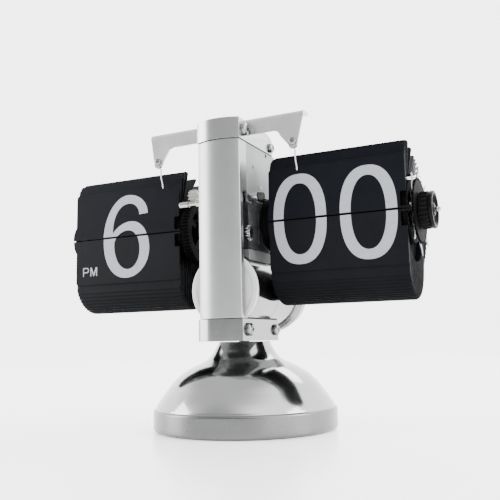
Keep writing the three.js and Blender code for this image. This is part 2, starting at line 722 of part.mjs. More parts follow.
// tooth phases: a gap of one wheel faces a tooth of the next
function facingPhase(teeth, fromY, fromZ, toY, toZ, wantGap) {
  const a = Math.atan2(toZ - fromZ, toY - fromY) / (2 * Math.PI);
  return a * teeth + (wantGap ? 0.5 : 0);
}

function wheel(teeth, module, y, z, phase, x, tooth) {
  return pullX(gearOutline(teeth, module, y, z, phase, tooth), x[0], x[1]);
}

const idlerPhase = facingPhase(IDLER_TEETH, idlerY, idlerZ, AXIS_Y, AXIS_Z, false);
const idler = fuse(
  wheel(IDLER_TEETH, MOD_DRIVE, idlerY, idlerZ, idlerPhase, DRIVE_X, POINTED_TOOTH),
  rodX(IDLER_SHAFT.r, ...IDLER_SHAFT.x, idlerY, idlerZ, 12),
  rodX(IDLER_BOSS.r, ...IDLER_BOSS.x, idlerY, idlerZ, 16),
);
add('idler_gear', idler, 0xe4e2da, 0, 0.5);

const minutePhase = facingPhase(MINUTE_TEETH, AXIS_Y, AXIS_Z, idlerY, idlerZ, true);
const bore = rodX(AXLE_R + 0.15, -120, 120, AXIS_Y, AXIS_Z, 16);
const minuteGear = cut(fuse(
  wheel(MINUTE_TEETH, MOD_DRIVE, AXIS_Y, AXIS_Z, minutePhase, DRIVE_X, POINTED_TOOTH),
  rodX(3.2, -3.6, DRIVE_X[0] + 0.2, AXIS_Y, AXIS_Z, 16),
), bore);
add('minute_gear', minuteGear, 0xe4e2da, 0, 0.5);

const idlerAtPinion = facingPhase(IDLER_TEETH, idlerY, idlerZ, PINION_Y, PINION_Z, false);
const idlerOffset = idlerAtPinion - idlerPhase;
const idlerShare = idlerOffset - Math.round(idlerOffset);
const pinionPhase = facingPhase(PINION_TEETH, PINION_Y, PINION_Z, idlerY, idlerZ, true) + idlerShare;
const SMALL_WHEEL = { teeth: 12, module: 0.58, x: [11.8, 13.8] };
const drivePinion = fuse(
  wheel(PINION_TEETH, MOD_DRIVE, PINION_Y, PINION_Z, pinionPhase, DRIVE_X, POINTED_TOOTH),
  rodX(PINION_SHAFT.r, ...PINION_SHAFT.x, PINION_Y, PINION_Z, 12),
  wheel(SMALL_WHEEL.teeth, SMALL_WHEEL.module, PINION_Y, PINION_Z, 0, SMALL_WHEEL.x),
);
add('drive_pinion', drivePinion, ...CHROME);

const reducePhase = facingPhase(REDUCE_BIG, arborY, arborZ, AXIS_Y, AXIS_Z, true);
const hourPinionPhase = facingPhase(HOUR_SMALL, arborY, arborZ, AXIS_Y, AXIS_Z, false);
const reduction = fuse(
  wheel(REDUCE_BIG, MOD_REDUCE, arborY, arborZ, reducePhase, REDUCE_X, POINTED_TOOTH),
  rodX(ARBOR_R, HOUR_GEAR_X[0] - 0.3, SHELL_HALF + 0.6, arborY, arborZ, 12),
  rodX(2.6, REDUCE_X[0] - 1.6, REDUCE_X[1] + 2, arborY, arborZ, 16),
  wheel(HOUR_SMALL, MOD_HOUR, arborY, arborZ, hourPinionPhase, [HOUR_GEAR_X[0], HOUR_GEAR_X[1]]),
);
add('reduction_gear', reduction, 0xe4e2da, 0, 0.5);

const minutePinionPhase = facingPhase(REDUCE_SMALL, AXIS_Y, AXIS_Z, arborY, arborZ, false);
const minutePinion = cut(
  wheel(REDUCE_SMALL, MOD_REDUCE, AXIS_Y, AXIS_Z, minutePinionPhase,
    [REDUCE_X[0] - 0.3, REDUCE_X[1] + 0.3], POINTED_TOOTH),
  bore,
);
add('minute_pinion', minutePinion, 0xc9a24a, 1, 0.35);

// ---------- hour ring gear with spokes ----------

const hourPhase = facingPhase(HOUR_BIG, AXIS_Y, AXIS_Z, arborY, arborZ, true);
const RING_IN = 13.6;
const HOUR_SLEEVE_R = 3.4;
const ringWheel = cut(
  wheel(HOUR_BIG, MOD_HOUR, AXIS_Y, AXIS_Z, hourPhase, HOUR_GEAR_X),
  rodX(RING_IN, HOUR_GEAR_X[0] - 1, HOUR_GEAR_X[1] + 1, AXIS_Y, AXIS_Z, 32),
);
const spokes = [];
const SPOKES = 5;
const SPOKE_HALF = 1.4;
for (let i = 0; i < SPOKES; i += 1) {
  const a = (i / SPOKES) * 2 * Math.PI + 0.3;
  const c = Math.cos(a);
  const s = Math.sin(a);
  const along2 = [5, RING_IN + 0.8];
  const corner = (u, v) => [AXIS_Y + u * c - v * s, AXIS_Z + u * s + v * c];
  const outline = [
    corner(along2[0], -SPOKE_HALF), corner(along2[1], -SPOKE_HALF),
    corner(along2[1], SPOKE_HALF), corner(along2[0], SPOKE_HALF),
  ];
  spokes.push(pullX(outline, HOUR_GEAR_X[0] + 1, HOUR_GEAR_X[1] - 1));
}
const hourGear = cut(
  fuse(ringWheel, ...spokes, rodX(6.2, HOUR_GEAR_X[0], HOUR_GEAR_X[1], AXIS_Y, AXIS_Z, 24)),
  rodX(HOUR_SLEEVE_R + 0.15, -60, 0, AXIS_Y, AXIS_Z, 20),
);
add('hour_ring_gear', hourGear, ...BLACK);

// ---------- hubs, axle, knob and the pieces at the minute end ----------

add('main_axle', rodX(AXLE_R, AXLE_X[0], AXLE_X[1], AXIS_Y, AXIS_Z, 16), ...STEEL);

function hub(x, outer, sleeve, boreR) {
  return cut(
    fuse(
      rodX(HUB_R, outer.x[0], x[1] - 0.5, AXIS_Y, AXIS_Z, 20),
      rodX(outer.r, outer.x[0], outer.x[1], AXIS_Y, AXIS_Z, 36),
      rodX(FLANGE_R, x[1] - 0.5 - FLANGE_T, x[1] - 0.5, AXIS_Y, AXIS_Z, 36),
      ...sleeve,
    ),
    rodX(boreR, -120, 120, AXIS_Y, AXIS_Z, 16),
  );
}

const hourSleeve = rodX(HOUR_SLEEVE_R, HOUR_X[1] - 1, HOUR_GEAR_X[1] + 0.4, AXIS_Y, AXIS_Z, 20);
add('hour_hub', hub(HOUR_X, HOUR_END_FLANGE, [hourSleeve], AXLE_R + TURN_GAP), ...BLACK);
add('minute_hub', hub(MINUTE_X, MINUTE_END_DRUM, [], AXLE_R + 0.15), ...BLACK);

// one arm of the star, degrees and radius from its middle line
const STAR_ARM = [[-22.5, 11], [-8, 12.4], [-5, STAR_R - 1], [0, STAR_R], [5, STAR_R - 1], [8, 12.4]];
function starOutline() {
  const points = [];
  for (let i = 0; i < STAR_ARMS; i += 1) {
    const base = (i / STAR_ARMS) * 360;
    for (const [deg, r] of STAR_ARM) {
      const a = (base + deg) * DEG;
      points.push([AXIS_Y + r * Math.cos(a), AXIS_Z + r * Math.sin(a)]);
    }
  }
  return points;
}
add('minute_star_spring', cut(pullX(starOutline(), STAR_X, STAR_X + STAR_T), bore), ...CHROME);
add('minute_setting_wheel', cut(
  pullX(zigzagOutline(WHEEL_TEETH, WHEEL_R, WHEEL_R - 0.9, AXIS_Y, AXIS_Z), WHEEL_X, WHEEL_X + WHEEL_T),
  bore,
), ...CHROME);
const knob = cut(
  fuse(
    pullX(zigzagOutline(KNOB_FLUTES, KNOB_R, KNOB_R - 0.6, AXIS_Y, AXIS_Z), KNOB_X[0], KNOB_X[1] - 0.8),
    rodX(KNOB_R - 0.6, KNOB_X[1] - 1, KNOB_X[1], AXIS_Y, AXIS_Z, 24, KNOB_R - 1.5),
  ),
  rodX(KNOB_R - 3, KNOB_X[1] - 0.5, KNOB_X[1] + 1, AXIS_Y, AXIS_Z, 24),
  bore,
);
add('minute_knob', knob, ...BLACK);

// ---------- leaves ----------

// lean from upright, degrees, of a leaf whose pin sits at angle theta above the front
const LEAN = [
  [-2, 1], [4, 1.6], [10, 2.6], [16, 4], [22, 7], [28, 11.5], [34, 17], [40, 33], [46, 47], [52, 53], [60, 61],
  [70, 71], [80, 81], [100, 100], [120, 120], [140, 141], [160, 162], [176, 177], [186, 180], [352, 180],
];

function leanAt(theta) {
  for (let i = 1; i < LEAN.length; i += 1) {
    const [t0, a0] = LEAN[i - 1];
    const [t1, a1] = LEAN[i];
    if (theta <= t1) {
      return a0 + ((a1 - a0) * (theta - t0)) / (t1 - t0);
    }
  }
  return 180;
}

// leaf plate lying in (X, Z), root edge on z = 0, thickness along +Y from y = 0
function leafPlate(x, thickness, length) {
  const c = LEAF_CHAMFER;
  const points = [
    [x[0], 0], [x[1], 0], [x[1], length - c], [x[1] - c, length], [x[0] + c, length], [x[0], length - c],
  ];
  const g = new THREE.ExtrudeGeometry(shapeOf(points), { depth: thickness, bevelEnabled: false });
  g.rotateX(Math.PI / 2);
  g.translate(0, thickness, 0);
  return g;
}

const MIN_ROOT_Y = FRONT_Y + 1.3;
const CHAMFERED = [40, 300];
function packLeaf(x, theta) {
  const hidden = theta > CHAMFERED[0] && theta < CHAMFERED[1];
  const g = hidden
    ? new THREE.BoxGeometry(x[1] - x[0], PACK_LEAF_T, LEAF_L + 0.4)
    : leafPlate(x, PACK_LEAF_T, LEAF_L + 0.4);
  if (hidden) {
    g.translate((x[0] + x[1]) / 2, PACK_LEAF_T / 2, (LEAF_L + 0.4) / 2);
  }
  g.translate(0, -PACK_LEAF_T / 2, -0.4);
  g.rotateX(-leanAt(theta) * DEG);
  const y = Math.max(AXIS_Y - PIN_R * Math.cos(theta * DEG), MIN_ROOT_Y);
  g.translate(0, y, AXIS_Z + PIN_R * Math.sin(theta * DEG));
  return solid(g);
}

// thin arc that ties the leaf roots of one pack together
function spine(x, from, to) {
  const points = [];
  const steps = 12;
  for (let i = 0; i <= steps; i += 1) {
    const a = (from + ((to - from) * i) / steps) * DEG;
    points.push([AXIS_Y - (PIN_R + SPINE_T / 2) * Math.cos(a), AXIS_Z + (PIN_R + SPINE_T / 2) * Math.sin(a)]);
  }
  for (let i = steps; i >= 0; i -= 1) {
    const a = (from + ((to - from) * i) / steps) * DEG;
    points.push([AXIS_Y - (PIN_R - SPINE_T / 2) * Math.cos(a), AXIS_Z + (PIN_R - SPINE_T / 2) * Math.sin(a)]);
  }
  points.reverse();
  return pullX(points, x[0] + 0.6, x[1] - 0.6);
}

const UPPER_FROM = 4;
const UPPER_COUNT = { minute: 37, hour: 30 };
const LOWER_TO = 345;
const SPINE_START = 20;
const SPINE_END = 338;
function pack(x, step, from, to) {
  const leaves = [];
  for (let theta = from; theta <= to + 0.01; theta += step) {
    leaves.push(packLeaf(x, theta));
  }
  const arc = spine(x, Math.max(from - 1, SPINE_START), Math.min(to + 1, SPINE_END));
  return fuse(arc, ...leaves);
}

function flipLeaf(x, tabs) {
  const edge = SPLIT_Z + 0.2;
  const g = leafPlate(x, LEAF_T, LEAF_L);
  g.translate(0, 0, edge - SPLIT_Z);
  const plate = solid(g);
  const tab = box(x[0] - tabs[0], x[1] + tabs[1], 0, LEAF_T, 0.2, TAB_H);
  const both = surface(fuse(plate, tab));
  both.rotateX(-FLIP_LEAN * DEG);
  both.translate(0, FRONT_Y, SPLIT_Z);
  return solid(both);
}

function frontLeaf(x) {
  const g = leafPlate(x, LEAF_T, LEAF_L - 0.8);
  g.rotateX(Math.PI);
  g.translate(0, FRONT_Y + GAP + LEAF_T, SPLIT_Z - 0.4);
  return solid(g);
}

const drums = [
  { name: 'hour', x: HOUR_X, step: HOUR_STEP, tabs: [LEFT_TAB, 0.8] },
  { name: 'minute', x: MINUTE_X, step: MINUTE_STEP, tabs: [0.8, RIGHT_TAB] },
];
for (const { name, x, step, tabs } of drums) {
  add(`${name}_flip_leaf`, flipLeaf(x, tabs), ...LEAF);
  add(`${name}_front_leaf`, frontLeaf(x), ...LEAF);
  const upperTo = UPPER_FROM + step * (UPPER_COUNT[name] - 1);
  add(`${name}_upper_leaves`, pack(x, step, UPPER_FROM, upperTo), ...LEAF);
  add(`${name}_lower_leaves`, pack(x, step, upperTo + step, LOWER_TO), ...LEAF);
}

export default group;
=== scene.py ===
"""Looks of the two-drum flip number clock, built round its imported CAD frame."""

import math

import bmesh
import bpy
from mathutils import Matrix, Vector
from mathutils.geometry import tessellate_polygon


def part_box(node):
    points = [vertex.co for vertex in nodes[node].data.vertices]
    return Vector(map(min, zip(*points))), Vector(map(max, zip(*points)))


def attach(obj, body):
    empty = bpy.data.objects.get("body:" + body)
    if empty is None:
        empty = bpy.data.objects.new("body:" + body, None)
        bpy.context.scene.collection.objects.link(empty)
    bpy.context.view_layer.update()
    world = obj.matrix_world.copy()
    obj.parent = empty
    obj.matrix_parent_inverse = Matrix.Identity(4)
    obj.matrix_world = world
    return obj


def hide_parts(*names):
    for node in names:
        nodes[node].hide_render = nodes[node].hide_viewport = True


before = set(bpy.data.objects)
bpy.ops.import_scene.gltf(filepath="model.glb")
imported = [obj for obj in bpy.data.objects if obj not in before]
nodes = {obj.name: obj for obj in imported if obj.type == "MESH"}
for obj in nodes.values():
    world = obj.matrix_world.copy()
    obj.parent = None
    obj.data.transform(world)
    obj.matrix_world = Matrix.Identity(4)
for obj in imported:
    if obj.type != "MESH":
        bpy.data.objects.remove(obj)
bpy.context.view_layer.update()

MM = 0.001
TAU = 2 * math.pi


def corner(node):
    """Lowest and highest corner of a CAD node, mm."""
    low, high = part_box(node)
    return low / MM, high / MM


# ---------- places, mm ----------

axle_low, axle_high = corner("main_axle")
AXIS_Y = (axle_low.y + axle_high.y) / 2
AXIS_Z = (axle_low.z + axle_high.z) / 2
AXLE = (0, AXIS_Y, AXIS_Z)
minute_low, minute_high = corner("minute_front_leaf")
hour_low, hour_high = corner("hour_front_leaf")
MINUTE_X = (minute_low.x, minute_high.x)
HOUR_X = (hour_low.x, hour_high.x)
SPLIT_Z = 105.3
FRONT_Y = -10.4
FLIP_LEAN = 0.8
LEAF_T = 0.5
LEAF_L = 26.8
PACK_LEAF_T = 0.4
PIN_R = 16.5
CORNER_R = 1.8
NOTCH_W = 3.0
NOTCH_H = 8.3
PIN_H = 0.9
TAB_H = 7.6
BATTERY_Z = sum(c.z for c in corner("battery_front_disc")) / 2

# ---------- mesh helpers ----------


def link(name, mesh):
    obj = bpy.data.objects.new(name, mesh)
    bpy.context.scene.collection.objects.link(obj)
    return obj


def from_bmesh(name, bm):
    bmesh.ops.recalc_face_normals(bm, faces=bm.faces)
    mesh = bpy.data.meshes.new(name)
    bm.to_mesh(mesh)
    bm.free()
    return link(name, mesh)


def add_prism(bm, loops, place, a, b):
    """Closed solid between two copies of flat loops; place(u, v, w) gives the point in mm."""
    flat = [p for loop in loops for p in loop]
    rings = [[bm.verts.new(Vector(place(u, v, w)) * MM) for u, v in flat] for w in (a, b)]
    triangles = tessellate_polygon([[Vector((u, v, 0)) for u, v in loop] for loop in loops])
    caps = []
    for ring in rings:
        for t in triangles:
            caps.append(bm.faces.new([ring[i] for i in t]))
    start = 0
    for loop in loops:
        n = len(loop)
        for i in range(n):
            j = (i + 1) % n
            quad = (rings[0][start + i], rings[0][start + j], rings[1][start + j], rings[1][start + i])
            bm.faces.new(quad)
        start += n
    inner = [e for e in {e for f in caps for e in f.edges} if all(f in caps for f in e.link_faces)]
    if len(loops) == 1:
        bmesh.ops.dissolve_edges(bm, edges=inner)


def along_x(u, v, w):
    return (w, u, v)


def along_y(u, v, w):
    return (u, w, v)


def along_z(u, v, w):
    return (u, v, w)


def prism(name, loops, place, a, b):
    bm = bmesh.new()
    add_prism(bm, loops, place, a, b)
    return from_bmesh(name, bm)


def block(name, x, y, z):
    return prism(name, [rect(x[0], x[1], y[0], y[1])], along_z, z[0], z[1])


def rect(u0, u1, v0, v1):
    return [(u0, v0), (u1, v0), (u1, v1), (u0, v1)]


def polar(u, v, r, a):
    return (u + r * math.cos(a), v + r * math.sin(a))


def circle(u, v, r, n=32):
    return [polar(u, v, r, TAU * i / n) for i in range(n)]


def hole(u, v, r, n=32):
    """A circle that runs the other way, to cut an opening in an outline."""
    return circle(u, v, r, n)[::-1]


def round_rect(u0, u1, v0, v1, radii, steps=8):
    """Rectangle with corner radii in the order low-left, low-right, high-right, high-left."""
    sw, se, ne, nw = radii
    corners = (
        (u0 + sw, v0 + sw, sw, 180), (u1 - se, v0 + se, se, 270),
        (u1 - ne, v1 - ne, ne, 0), (u0 + nw, v1 - nw, nw, 90),
    )
    points = []
    for cu, cv, r, start in corners:
        count = steps if r > 0 else 0
        for i in range(count + 1):
            points.append(polar(cu, cv, r, math.radians(start + 90 * i / max(count, 1))))
    return points


def smooth_line(points, per):
    """Catmull-Rom line through the points."""
    last = len(points) - 1
    out = []
    for i in range(last):
        p = [Vector(points[min(max(i + k, 0), last)]) for k in (-1, 0, 1, 2)]
        for s in range(per):
            t = s / per
            out.append(
                0.5 * (2 * p[1] + (p[2] - p[0]) * t + (2 * p[0] - 5 * p[1] + 4 * p[2] - p[3]) * t * t
                       + (3 * p[1] - p[0] - 3 * p[2] + p[3]) * t ** 3)
            )
    out.append(Vector(points[-1]))
    return out


def bridge(bm, rings, closed=False):
    """Faces between neighbouring rings of points; a ring may be a single point."""
    for a, b in zip(rings, rings[1:] + rings[:1] if closed else rings[1:]):
        n = max(len(a), len(b))
        if n == 1:
            continue
        for i in range(n):
            j = (i + 1) % n
            quad = [a[i % len(a)], a[j % len(a)], b[j % len(b)], b[i % len(b)]]
            bm.faces.new(list(dict.fromkeys(quad)))


def revolve(name, profile, centre, axis, segments, closed=True):
    """Turns (radius, height) points about an axis line; a zero radius becomes a single point."""
    cx, cy, cz = centre

    def point(r, h, a):
        c, s = r * math.cos(a), r * math.sin(a)
        if axis == "X":
            return (cx + h, cy + c, cz + s)
        return (cx + c, cy + h, cz + s) if axis == "Y" else (cx + c, cy + s, cz + h)

    bm = bmesh.new()
    rings = []
    for r, h in profile:
        count = 1 if r < 1e-6 else segments
        rings.append([bm.verts.new(Vector(point(r, h, TAU * i / segments)) * MM) for i in range(count)])
    bridge(bm, rings, closed)
    return from_bmesh(name, bm)


def add_tube(bm, points, radius, sides):
    """Round bar with domed ends along a line of points."""
    line = [Vector(p) for p in points]
    last = len(line) - 1
    tangents = [(line[min(i + 1, last)] - line[max(i - 1, 0)]).normalized() for i in range(len(line))]
    normal = tangents[0].orthogonal().normalized()
    rings = []
    for i, (p, t) in enumerate(zip(line, tangents)):
        normal = (normal - t * normal.dot(t)).normalized()
        side = t.cross(normal)
        stations = [(0, 1)]
        if i == 0:
            stations = [(-0.85, 0.5), (-0.5, 0.85), (0, 1)]
        if i == last:
            stations = [(0, 1), (0.5, 0.85), (0.85, 0.5)]
        for push, share in stations:
            centre = p + t * push * radius
            ring = []
            for k in range(sides):
                c, s = polar(0, 0, 1, TAU * k / sides)
                ring.append(bm.verts.new((centre + (normal * c + side * s) * radius * share) * MM))
            rings.append(ring)
    bridge(bm, rings)
    bm.faces.new(rings[0])
    bm.faces.new(rings[-1])


def bake_modifiers(obj):
    bpy.context.view_layer.update()
    evaluated = obj.evaluated_get(bpy.context.evaluated_depsgraph_get())
    mesh = bpy.data.meshes.new_from_object(evaluated)
    obj.modifiers.clear()
    old, obj.data = obj.data, mesh
    bpy.data.meshes.remove(old)
    return obj


def combine(obj, other, operation="DIFFERENCE"):
    """Exact boolean of two closed meshes; the second is used up."""
    step = obj.modifiers.new("combine", "BOOLEAN")
    step.object = other
    step.operation = operation
    step.solver = "EXACT"
    bake_modifiers(obj)
    bpy.data.objects.remove(other)
    tidy_mesh(obj)
    return obj


def tidy_mesh(obj):
    """Welds what a boolean leaves doubled and joins its flat triangles into larger faces."""
    bm = bmesh.new()
    bm.from_mesh(obj.data)
    bmesh.ops.remove_doubles(bm, verts=bm.verts, dist=2e-6)
    bmesh.ops.dissolve_limit(bm, angle_limit=math.radians(0.3), verts=bm.verts, edges=bm.edges)
    bm.to_mesh(obj.data)
    bm.free()


def soften(obj, width, segments=3, angle=28):
    """Rounds the edges and keeps the broad faces shading flat."""
    if width:
        edge = obj.modifiers.new("edges", "BEVEL")
        edge.width = width * MM
        edge.segments = segments
        edge.limit_method = "ANGLE"
        edge.angle_limit = math.radians(angle)
        edge.miter_outer = "MITER_ARC"
        edge.use_clamp_overlap = True
        bake_modifiers(obj)
    obj.data.shade_smooth()
    obj.data.set_sharp_from_angle(angle=math.radians(42))
    weighted = obj.modifiers.new("normals", "WEIGHTED_NORMAL")
    weighted.keep_sharp = True
    return obj


def place(obj, material, body, slot, *stands_for):
    obj.data.materials.clear()
    obj.data.materials.append(material)
    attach(obj, body)
    if stands_for:
        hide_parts(*stands_for)
    return obj


# ---------- materials ----------


def add_node(tree, kind, sockets, **settings):
    """A shader node with its settings; each socket is set, or joined to another node's output."""
    made = tree.nodes.new("ShaderNode" + kind)
    for key, value in settings.items():
        setattr(made, key, value)
    for key, value in sockets.items():
        if isinstance(value, bpy.types.NodeSocket):
            tree.links.new(value, made.inputs[key])
        else:
            made.inputs[key].default_value = value
    return made


NOISE_RANGE = (0.3, 0.7)
EDGE_RANGE = (0.51, 0.6)
STREAK_RANGE = (0.35, 0.65)
STREAK_ROUGHNESS = 0.012


def surface(name, dark, light, rough, scale, bump, metallic=0.0, wear=None, streaks=None, shade_band=None,
            sockets=()):
    """Noise-driven finish: colour between dark and light, roughness range, fine relief, worn edges.

    The shade band is (height, tone, roughness): below the height the colour is darkened as painted shade and
    the finish duller.
    """
    material = bpy.data.materials.new(name)
    material.use_nodes = True
    tree = material.node_tree
    at = add_node(tree, "TexCoord", {}).outputs["Object"]

    def noise(size, detail=5.0, vector=at):
        made = {"Scale": size, "Detail": detail, "Roughness": 0.6, "Vector": vector}
        return add_node(tree, "TexNoise", made).outputs["Fac"]

    def spread(value, span, start, stop):
        ends = {"Value": value, "From Min": span[0], "From Max": span[1], "To Min": start, "To Max": stop}
        return add_node(tree, "MapRange", ends).outputs["Result"]

    ramp = add_node(tree, "ValToRGB", {"Fac": noise(scale)})
    for element, position, tone in zip(ramp.color_ramp.elements, NOISE_RANGE, (dark, light)):
        element.position = position
        element.color = (*tone, 1)
    colour = ramp.outputs["Color"]
    gloss = noise(scale * 2.7, 8.0)
    roughness = spread(gloss, NOISE_RANGE, *rough)

    if wear:
        amount, worn = wear
        pointed = add_node(tree, "NewGeometry", {}).outputs["Pointiness"]
        edge = spread(pointed, EDGE_RANGE, 0, amount)
        patch = add_node(tree, "Math", {0: edge, 1: gloss}, operation="MULTIPLY").outputs["Value"]
        mixed = {"Factor": patch, 6: colour, 7: (*worn, 1)}
        colour = add_node(tree, "Mix", mixed, data_type="RGBA").outputs[2]

    # painted shade: below the height the colour is darkened to stand in for a darker reflection; the added
    # roughness is the real duller finish
    if shade_band:
        edge_z, tone, duller = shade_band
        height = add_node(tree, "SeparateXYZ", {"Vector": at}).outputs["Z"]
        below = add_node(tree, "Math", {0: height, 1: edge_z}, operation="LESS_THAN").outputs["Value"]
        shade_mix = {"Factor": below, 6: colour, 7: (tone, tone, tone, 1)}
        colour = add_node(tree, "Mix", shade_mix, data_type="RGBA", blend_type="MULTIPLY").outputs[2]
        dulled = {0: below, 1: duller, 2: roughness}
        roughness = add_node(tree, "Math", dulled, operation="MULTIPLY_ADD").outputs["Value"]

    strength, distance, size = bump
    relief = noise(size, 3.0)
    if streaks:
        share, streak_scale, streak_stretch = streaks
        turned = add_node(tree, "Mapping", {"Scale": streak_stretch, "Vector": at}).outputs["Vector"]
        lines = noise(streak_scale, 2.0, turned)
        relief = add_node(tree, "Mix", {"Factor": share, "A": relief, "B": lines}).outputs["Result"]
        wide = spread(lines, STREAK_RANGE, -STREAK_ROUGHNESS, STREAK_ROUGHNESS)
        roughness = add_node(tree, "Math", {0: roughness, 1: wide}).outputs["Value"]
    raised = {"Strength": strength, "Distance": distance, "Height": relief}
    normal = add_node(tree, "Bump", raised).outputs["Normal"]

    shader = tree.nodes["Principled BSDF"]
    for socket, value in (("Base Color", colour), ("Roughness", roughness), ("Normal", normal)):
        tree.links.new(value, shader.inputs[socket])
    shader.inputs["Metallic"].default_value = metallic
    for socket, value in dict(sockets).items():
        shader.inputs[socket].default_value = value
    return material


CHROME = surface(
    "polished_chrome", (0.33, 0.335, 0.335), (0.39, 0.395, 0.395), (0.17, 0.23), scale=45, metallic=1,
    bump=(0.05, 0.00001, 900), wear=(0.3, (0.9, 0.9, 0.9)),
)
# painted shade: the two chrome finishes below are darker copies of the polished chrome, toned down for the
# base dome and further for the collar and battery housing to stand in for shade; their spun and turned relief
# is real
BASE_CHROME = surface(
    "spun_chrome_shaded", (0.27, 0.273, 0.273), (0.31, 0.313, 0.313), (0.10, 0.16), scale=30, metallic=1,
    # the band below 11.3 mm darkens the rim with painted shade and gives it a duller finish
    bump=(0.05, 0.00001, 700), shade_band=(0.0113, 0.46, 0.14),
)
HOUSING = surface(
    "turned_chrome_shaded", (0.21, 0.213, 0.213), (0.25, 0.253, 0.253), (0.11, 0.17), scale=40, metallic=1,
    bump=(0.05, 0.00001, 900), streaks=(0.5, 2400, (1, 0.02, 1)),
)
SATIN = surface(
    "satin_steel", (0.325, 0.33, 0.33), (0.355, 0.36, 0.36), (0.30, 0.34), scale=40, metallic=1,
    bump=(0.012, 0.00001, 2600), streaks=(0.5, 2600, (1, 1, 0.02)),
)
BRUSHED = surface(
    "brushed_steel", (0.53, 0.535, 0.535), (0.60, 0.605, 0.605), (0.26, 0.34), scale=50, metallic=1,
    bump=(0.05, 0.00001, 2600), streaks=(0.7, 2400, (0.02, 1, 1)),
)
PLATE = surface(
    "matt_plate", (0.24, 0.245, 0.25), (0.29, 0.295, 0.30), (0.54, 0.62), scale=60, metallic=0.9,
    bump=(0.2, 0.00002, 3200),
)
STEEL = surface(
    "bright_steel", (0.34, 0.345, 0.35), (0.46, 0.465, 0.47), (0.15, 0.28), scale=160, metallic=1,
    bump=(0.15, 0.00001, 3000), wear=(0.6, (0.92, 0.92, 0.92)),
)
ZINC = surface(
    "zinc_plate", (0.36, 0.37, 0.38), (0.50, 0.51, 0.52), (0.35, 0.55), scale=220, metallic=0.9,
    bump=(0.3, 0.00003, 1800), wear=(0.6, (0.7, 0.7, 0.7)),
)
CAST = surface(
    "cast_weight", (0.10, 0.105, 0.11), (0.18, 0.185, 0.19), (0.55, 0.75), scale=260, metallic=0.5,
    bump=(0.6, 0.0001, 900),
)
BRASS = surface(
    "brass", (0.55, 0.38, 0.14), (0.68, 0.50, 0.22), (0.2, 0.34), scale=200, metallic=1,
    bump=(0.15, 0.00002, 2500), wear=(0.6, (0.85, 0.7, 0.4)),
)
LEAF = surface(
    "leaf_plastic", (0.0024, 0.0029, 0.0045), (0.0036, 0.0043, 0.0065), (0.42, 0.54), scale=70,
    bump=(0.35, 0.00002, 4200), sockets={"Specular IOR Level": 0.06},
)
# painted shade: a darker copy of the leaf plastic for the lower leaves and the hanging front leaf
LEAF_SHADED = surface(
    "leaf_plastic_shaded", (0.0020, 0.0024, 0.0034), (0.0032, 0.0037, 0.0050), (0.44, 0.56), scale=70,
    bump=(0.35, 0.00002, 4200), sockets={"Specular IOR Level": 0.08},
)
PRINT = surface(
    "digit_print", (0.235, 0.243, 0.268), (0.27, 0.28, 0.306), (0.45, 0.58), scale=400,
    bump=(0.3, 0.00001, 6000),
)
BLACK = surface(
    "black_plastic", (0.0020, 0.0020, 0.0023), (0.0040, 0.0040, 0.0045), (0.30, 0.44), scale=150,
    bump=(0.3, 0.00002, 3600), wear=(0.5, (0.02, 0.02, 0.022)), sockets={"Specular IOR Level": 0.05},
)
DULL = surface(
    "dull_black_plastic", (0.0016, 0.0016, 0.0018), (0.0030, 0.0030, 0.0034), (0.5, 0.64), scale=150,
    bump=(0.3, 0.00002, 3600), sockets={"Specular IOR Level": 0.02},
)
SPRING = surface(
    "spring_steel", (0.11, 0.113, 0.116), (0.18, 0.184, 0.188), (0.2, 0.32), scale=160, metallic=1,
    bump=(0.15, 0.00001, 3000), wear=(0.6, (0.8, 0.8, 0.8)),
)
RUBBER = surface(
    "black_rubber", (0.012, 0.012, 0.012), (0.022, 0.022, 0.022), (0.65, 0.85), scale=300,
    bump=(0.5, 0.00005, 2400),
)
PALE = surface(
    "ivory_plastic", (0.50, 0.485, 0.43), (0.60, 0.585, 0.53), (0.38, 0.5), scale=180,
    bump=(0.25, 0.00002, 3000), wear=(0.4, (0.88, 0.87, 0.83)),
)
DISC = surface(
    "painted_disc", (0.52, 0.53, 0.54), (0.60, 0.605, 0.61), (0.30, 0.40), scale=60, metallic=0.25,
    bump=(0.2, 0.00002, 3600),
)
CELL = surface(
    "battery_sleeve", (0.03, 0.10, 0.25), (0.05, 0.14, 0.32), (0.22, 0.34), scale=120,
    bump=(0.2, 0.00002, 2200), sockets={"Coat Weight": 0.4, "Coat Roughness": 0.1},
)
FELT = surface(
    "base_felt", (0.012, 0.012, 0.013), (0.035, 0.035, 0.037), (0.85, 0.98), scale=900,
    bump=(0.9, 0.0002, 5200), sockets={"Sheen Weight": 0.3, "Sheen Roughness": 0.6},
)
SMOKE = surface(
    "smoked_cover", (0.10, 0.105, 0.115), (0.15, 0.155, 0.165), (0.10, 0.20), scale=110,
    bump=(0.12, 0.00002, 1500),
    sockets={"Transmission Weight": 0.75, "IOR": 1.45, "Specular IOR Level": 0.5},
)

# ---------- outlines shared by the column pieces ----------

BOW = 3.3
BOW_STEPS = 28


def bowed_plan(half, y0, y1, rear, inset=0.0):
    """Plan with a bowed front between sharp front corners and rounded rear corners."""
    bow_r = (half ** 2 + BOW ** 2) / (2 * BOW)
    centre = y0 - BOW + bow_r
    r = bow_r - inset
    x = half - inset
    reach = math.asin(x / r)
    front = [polar(0, centre, r, -math.pi / 2 - reach + 2 * reach * i / BOW_STEPS)
             for i in range(BOW_STEPS + 1)]
    return front + round_rect(-x, x, y0, y1, (0, 0, rear, rear))[2:]


# ---------- base ----------

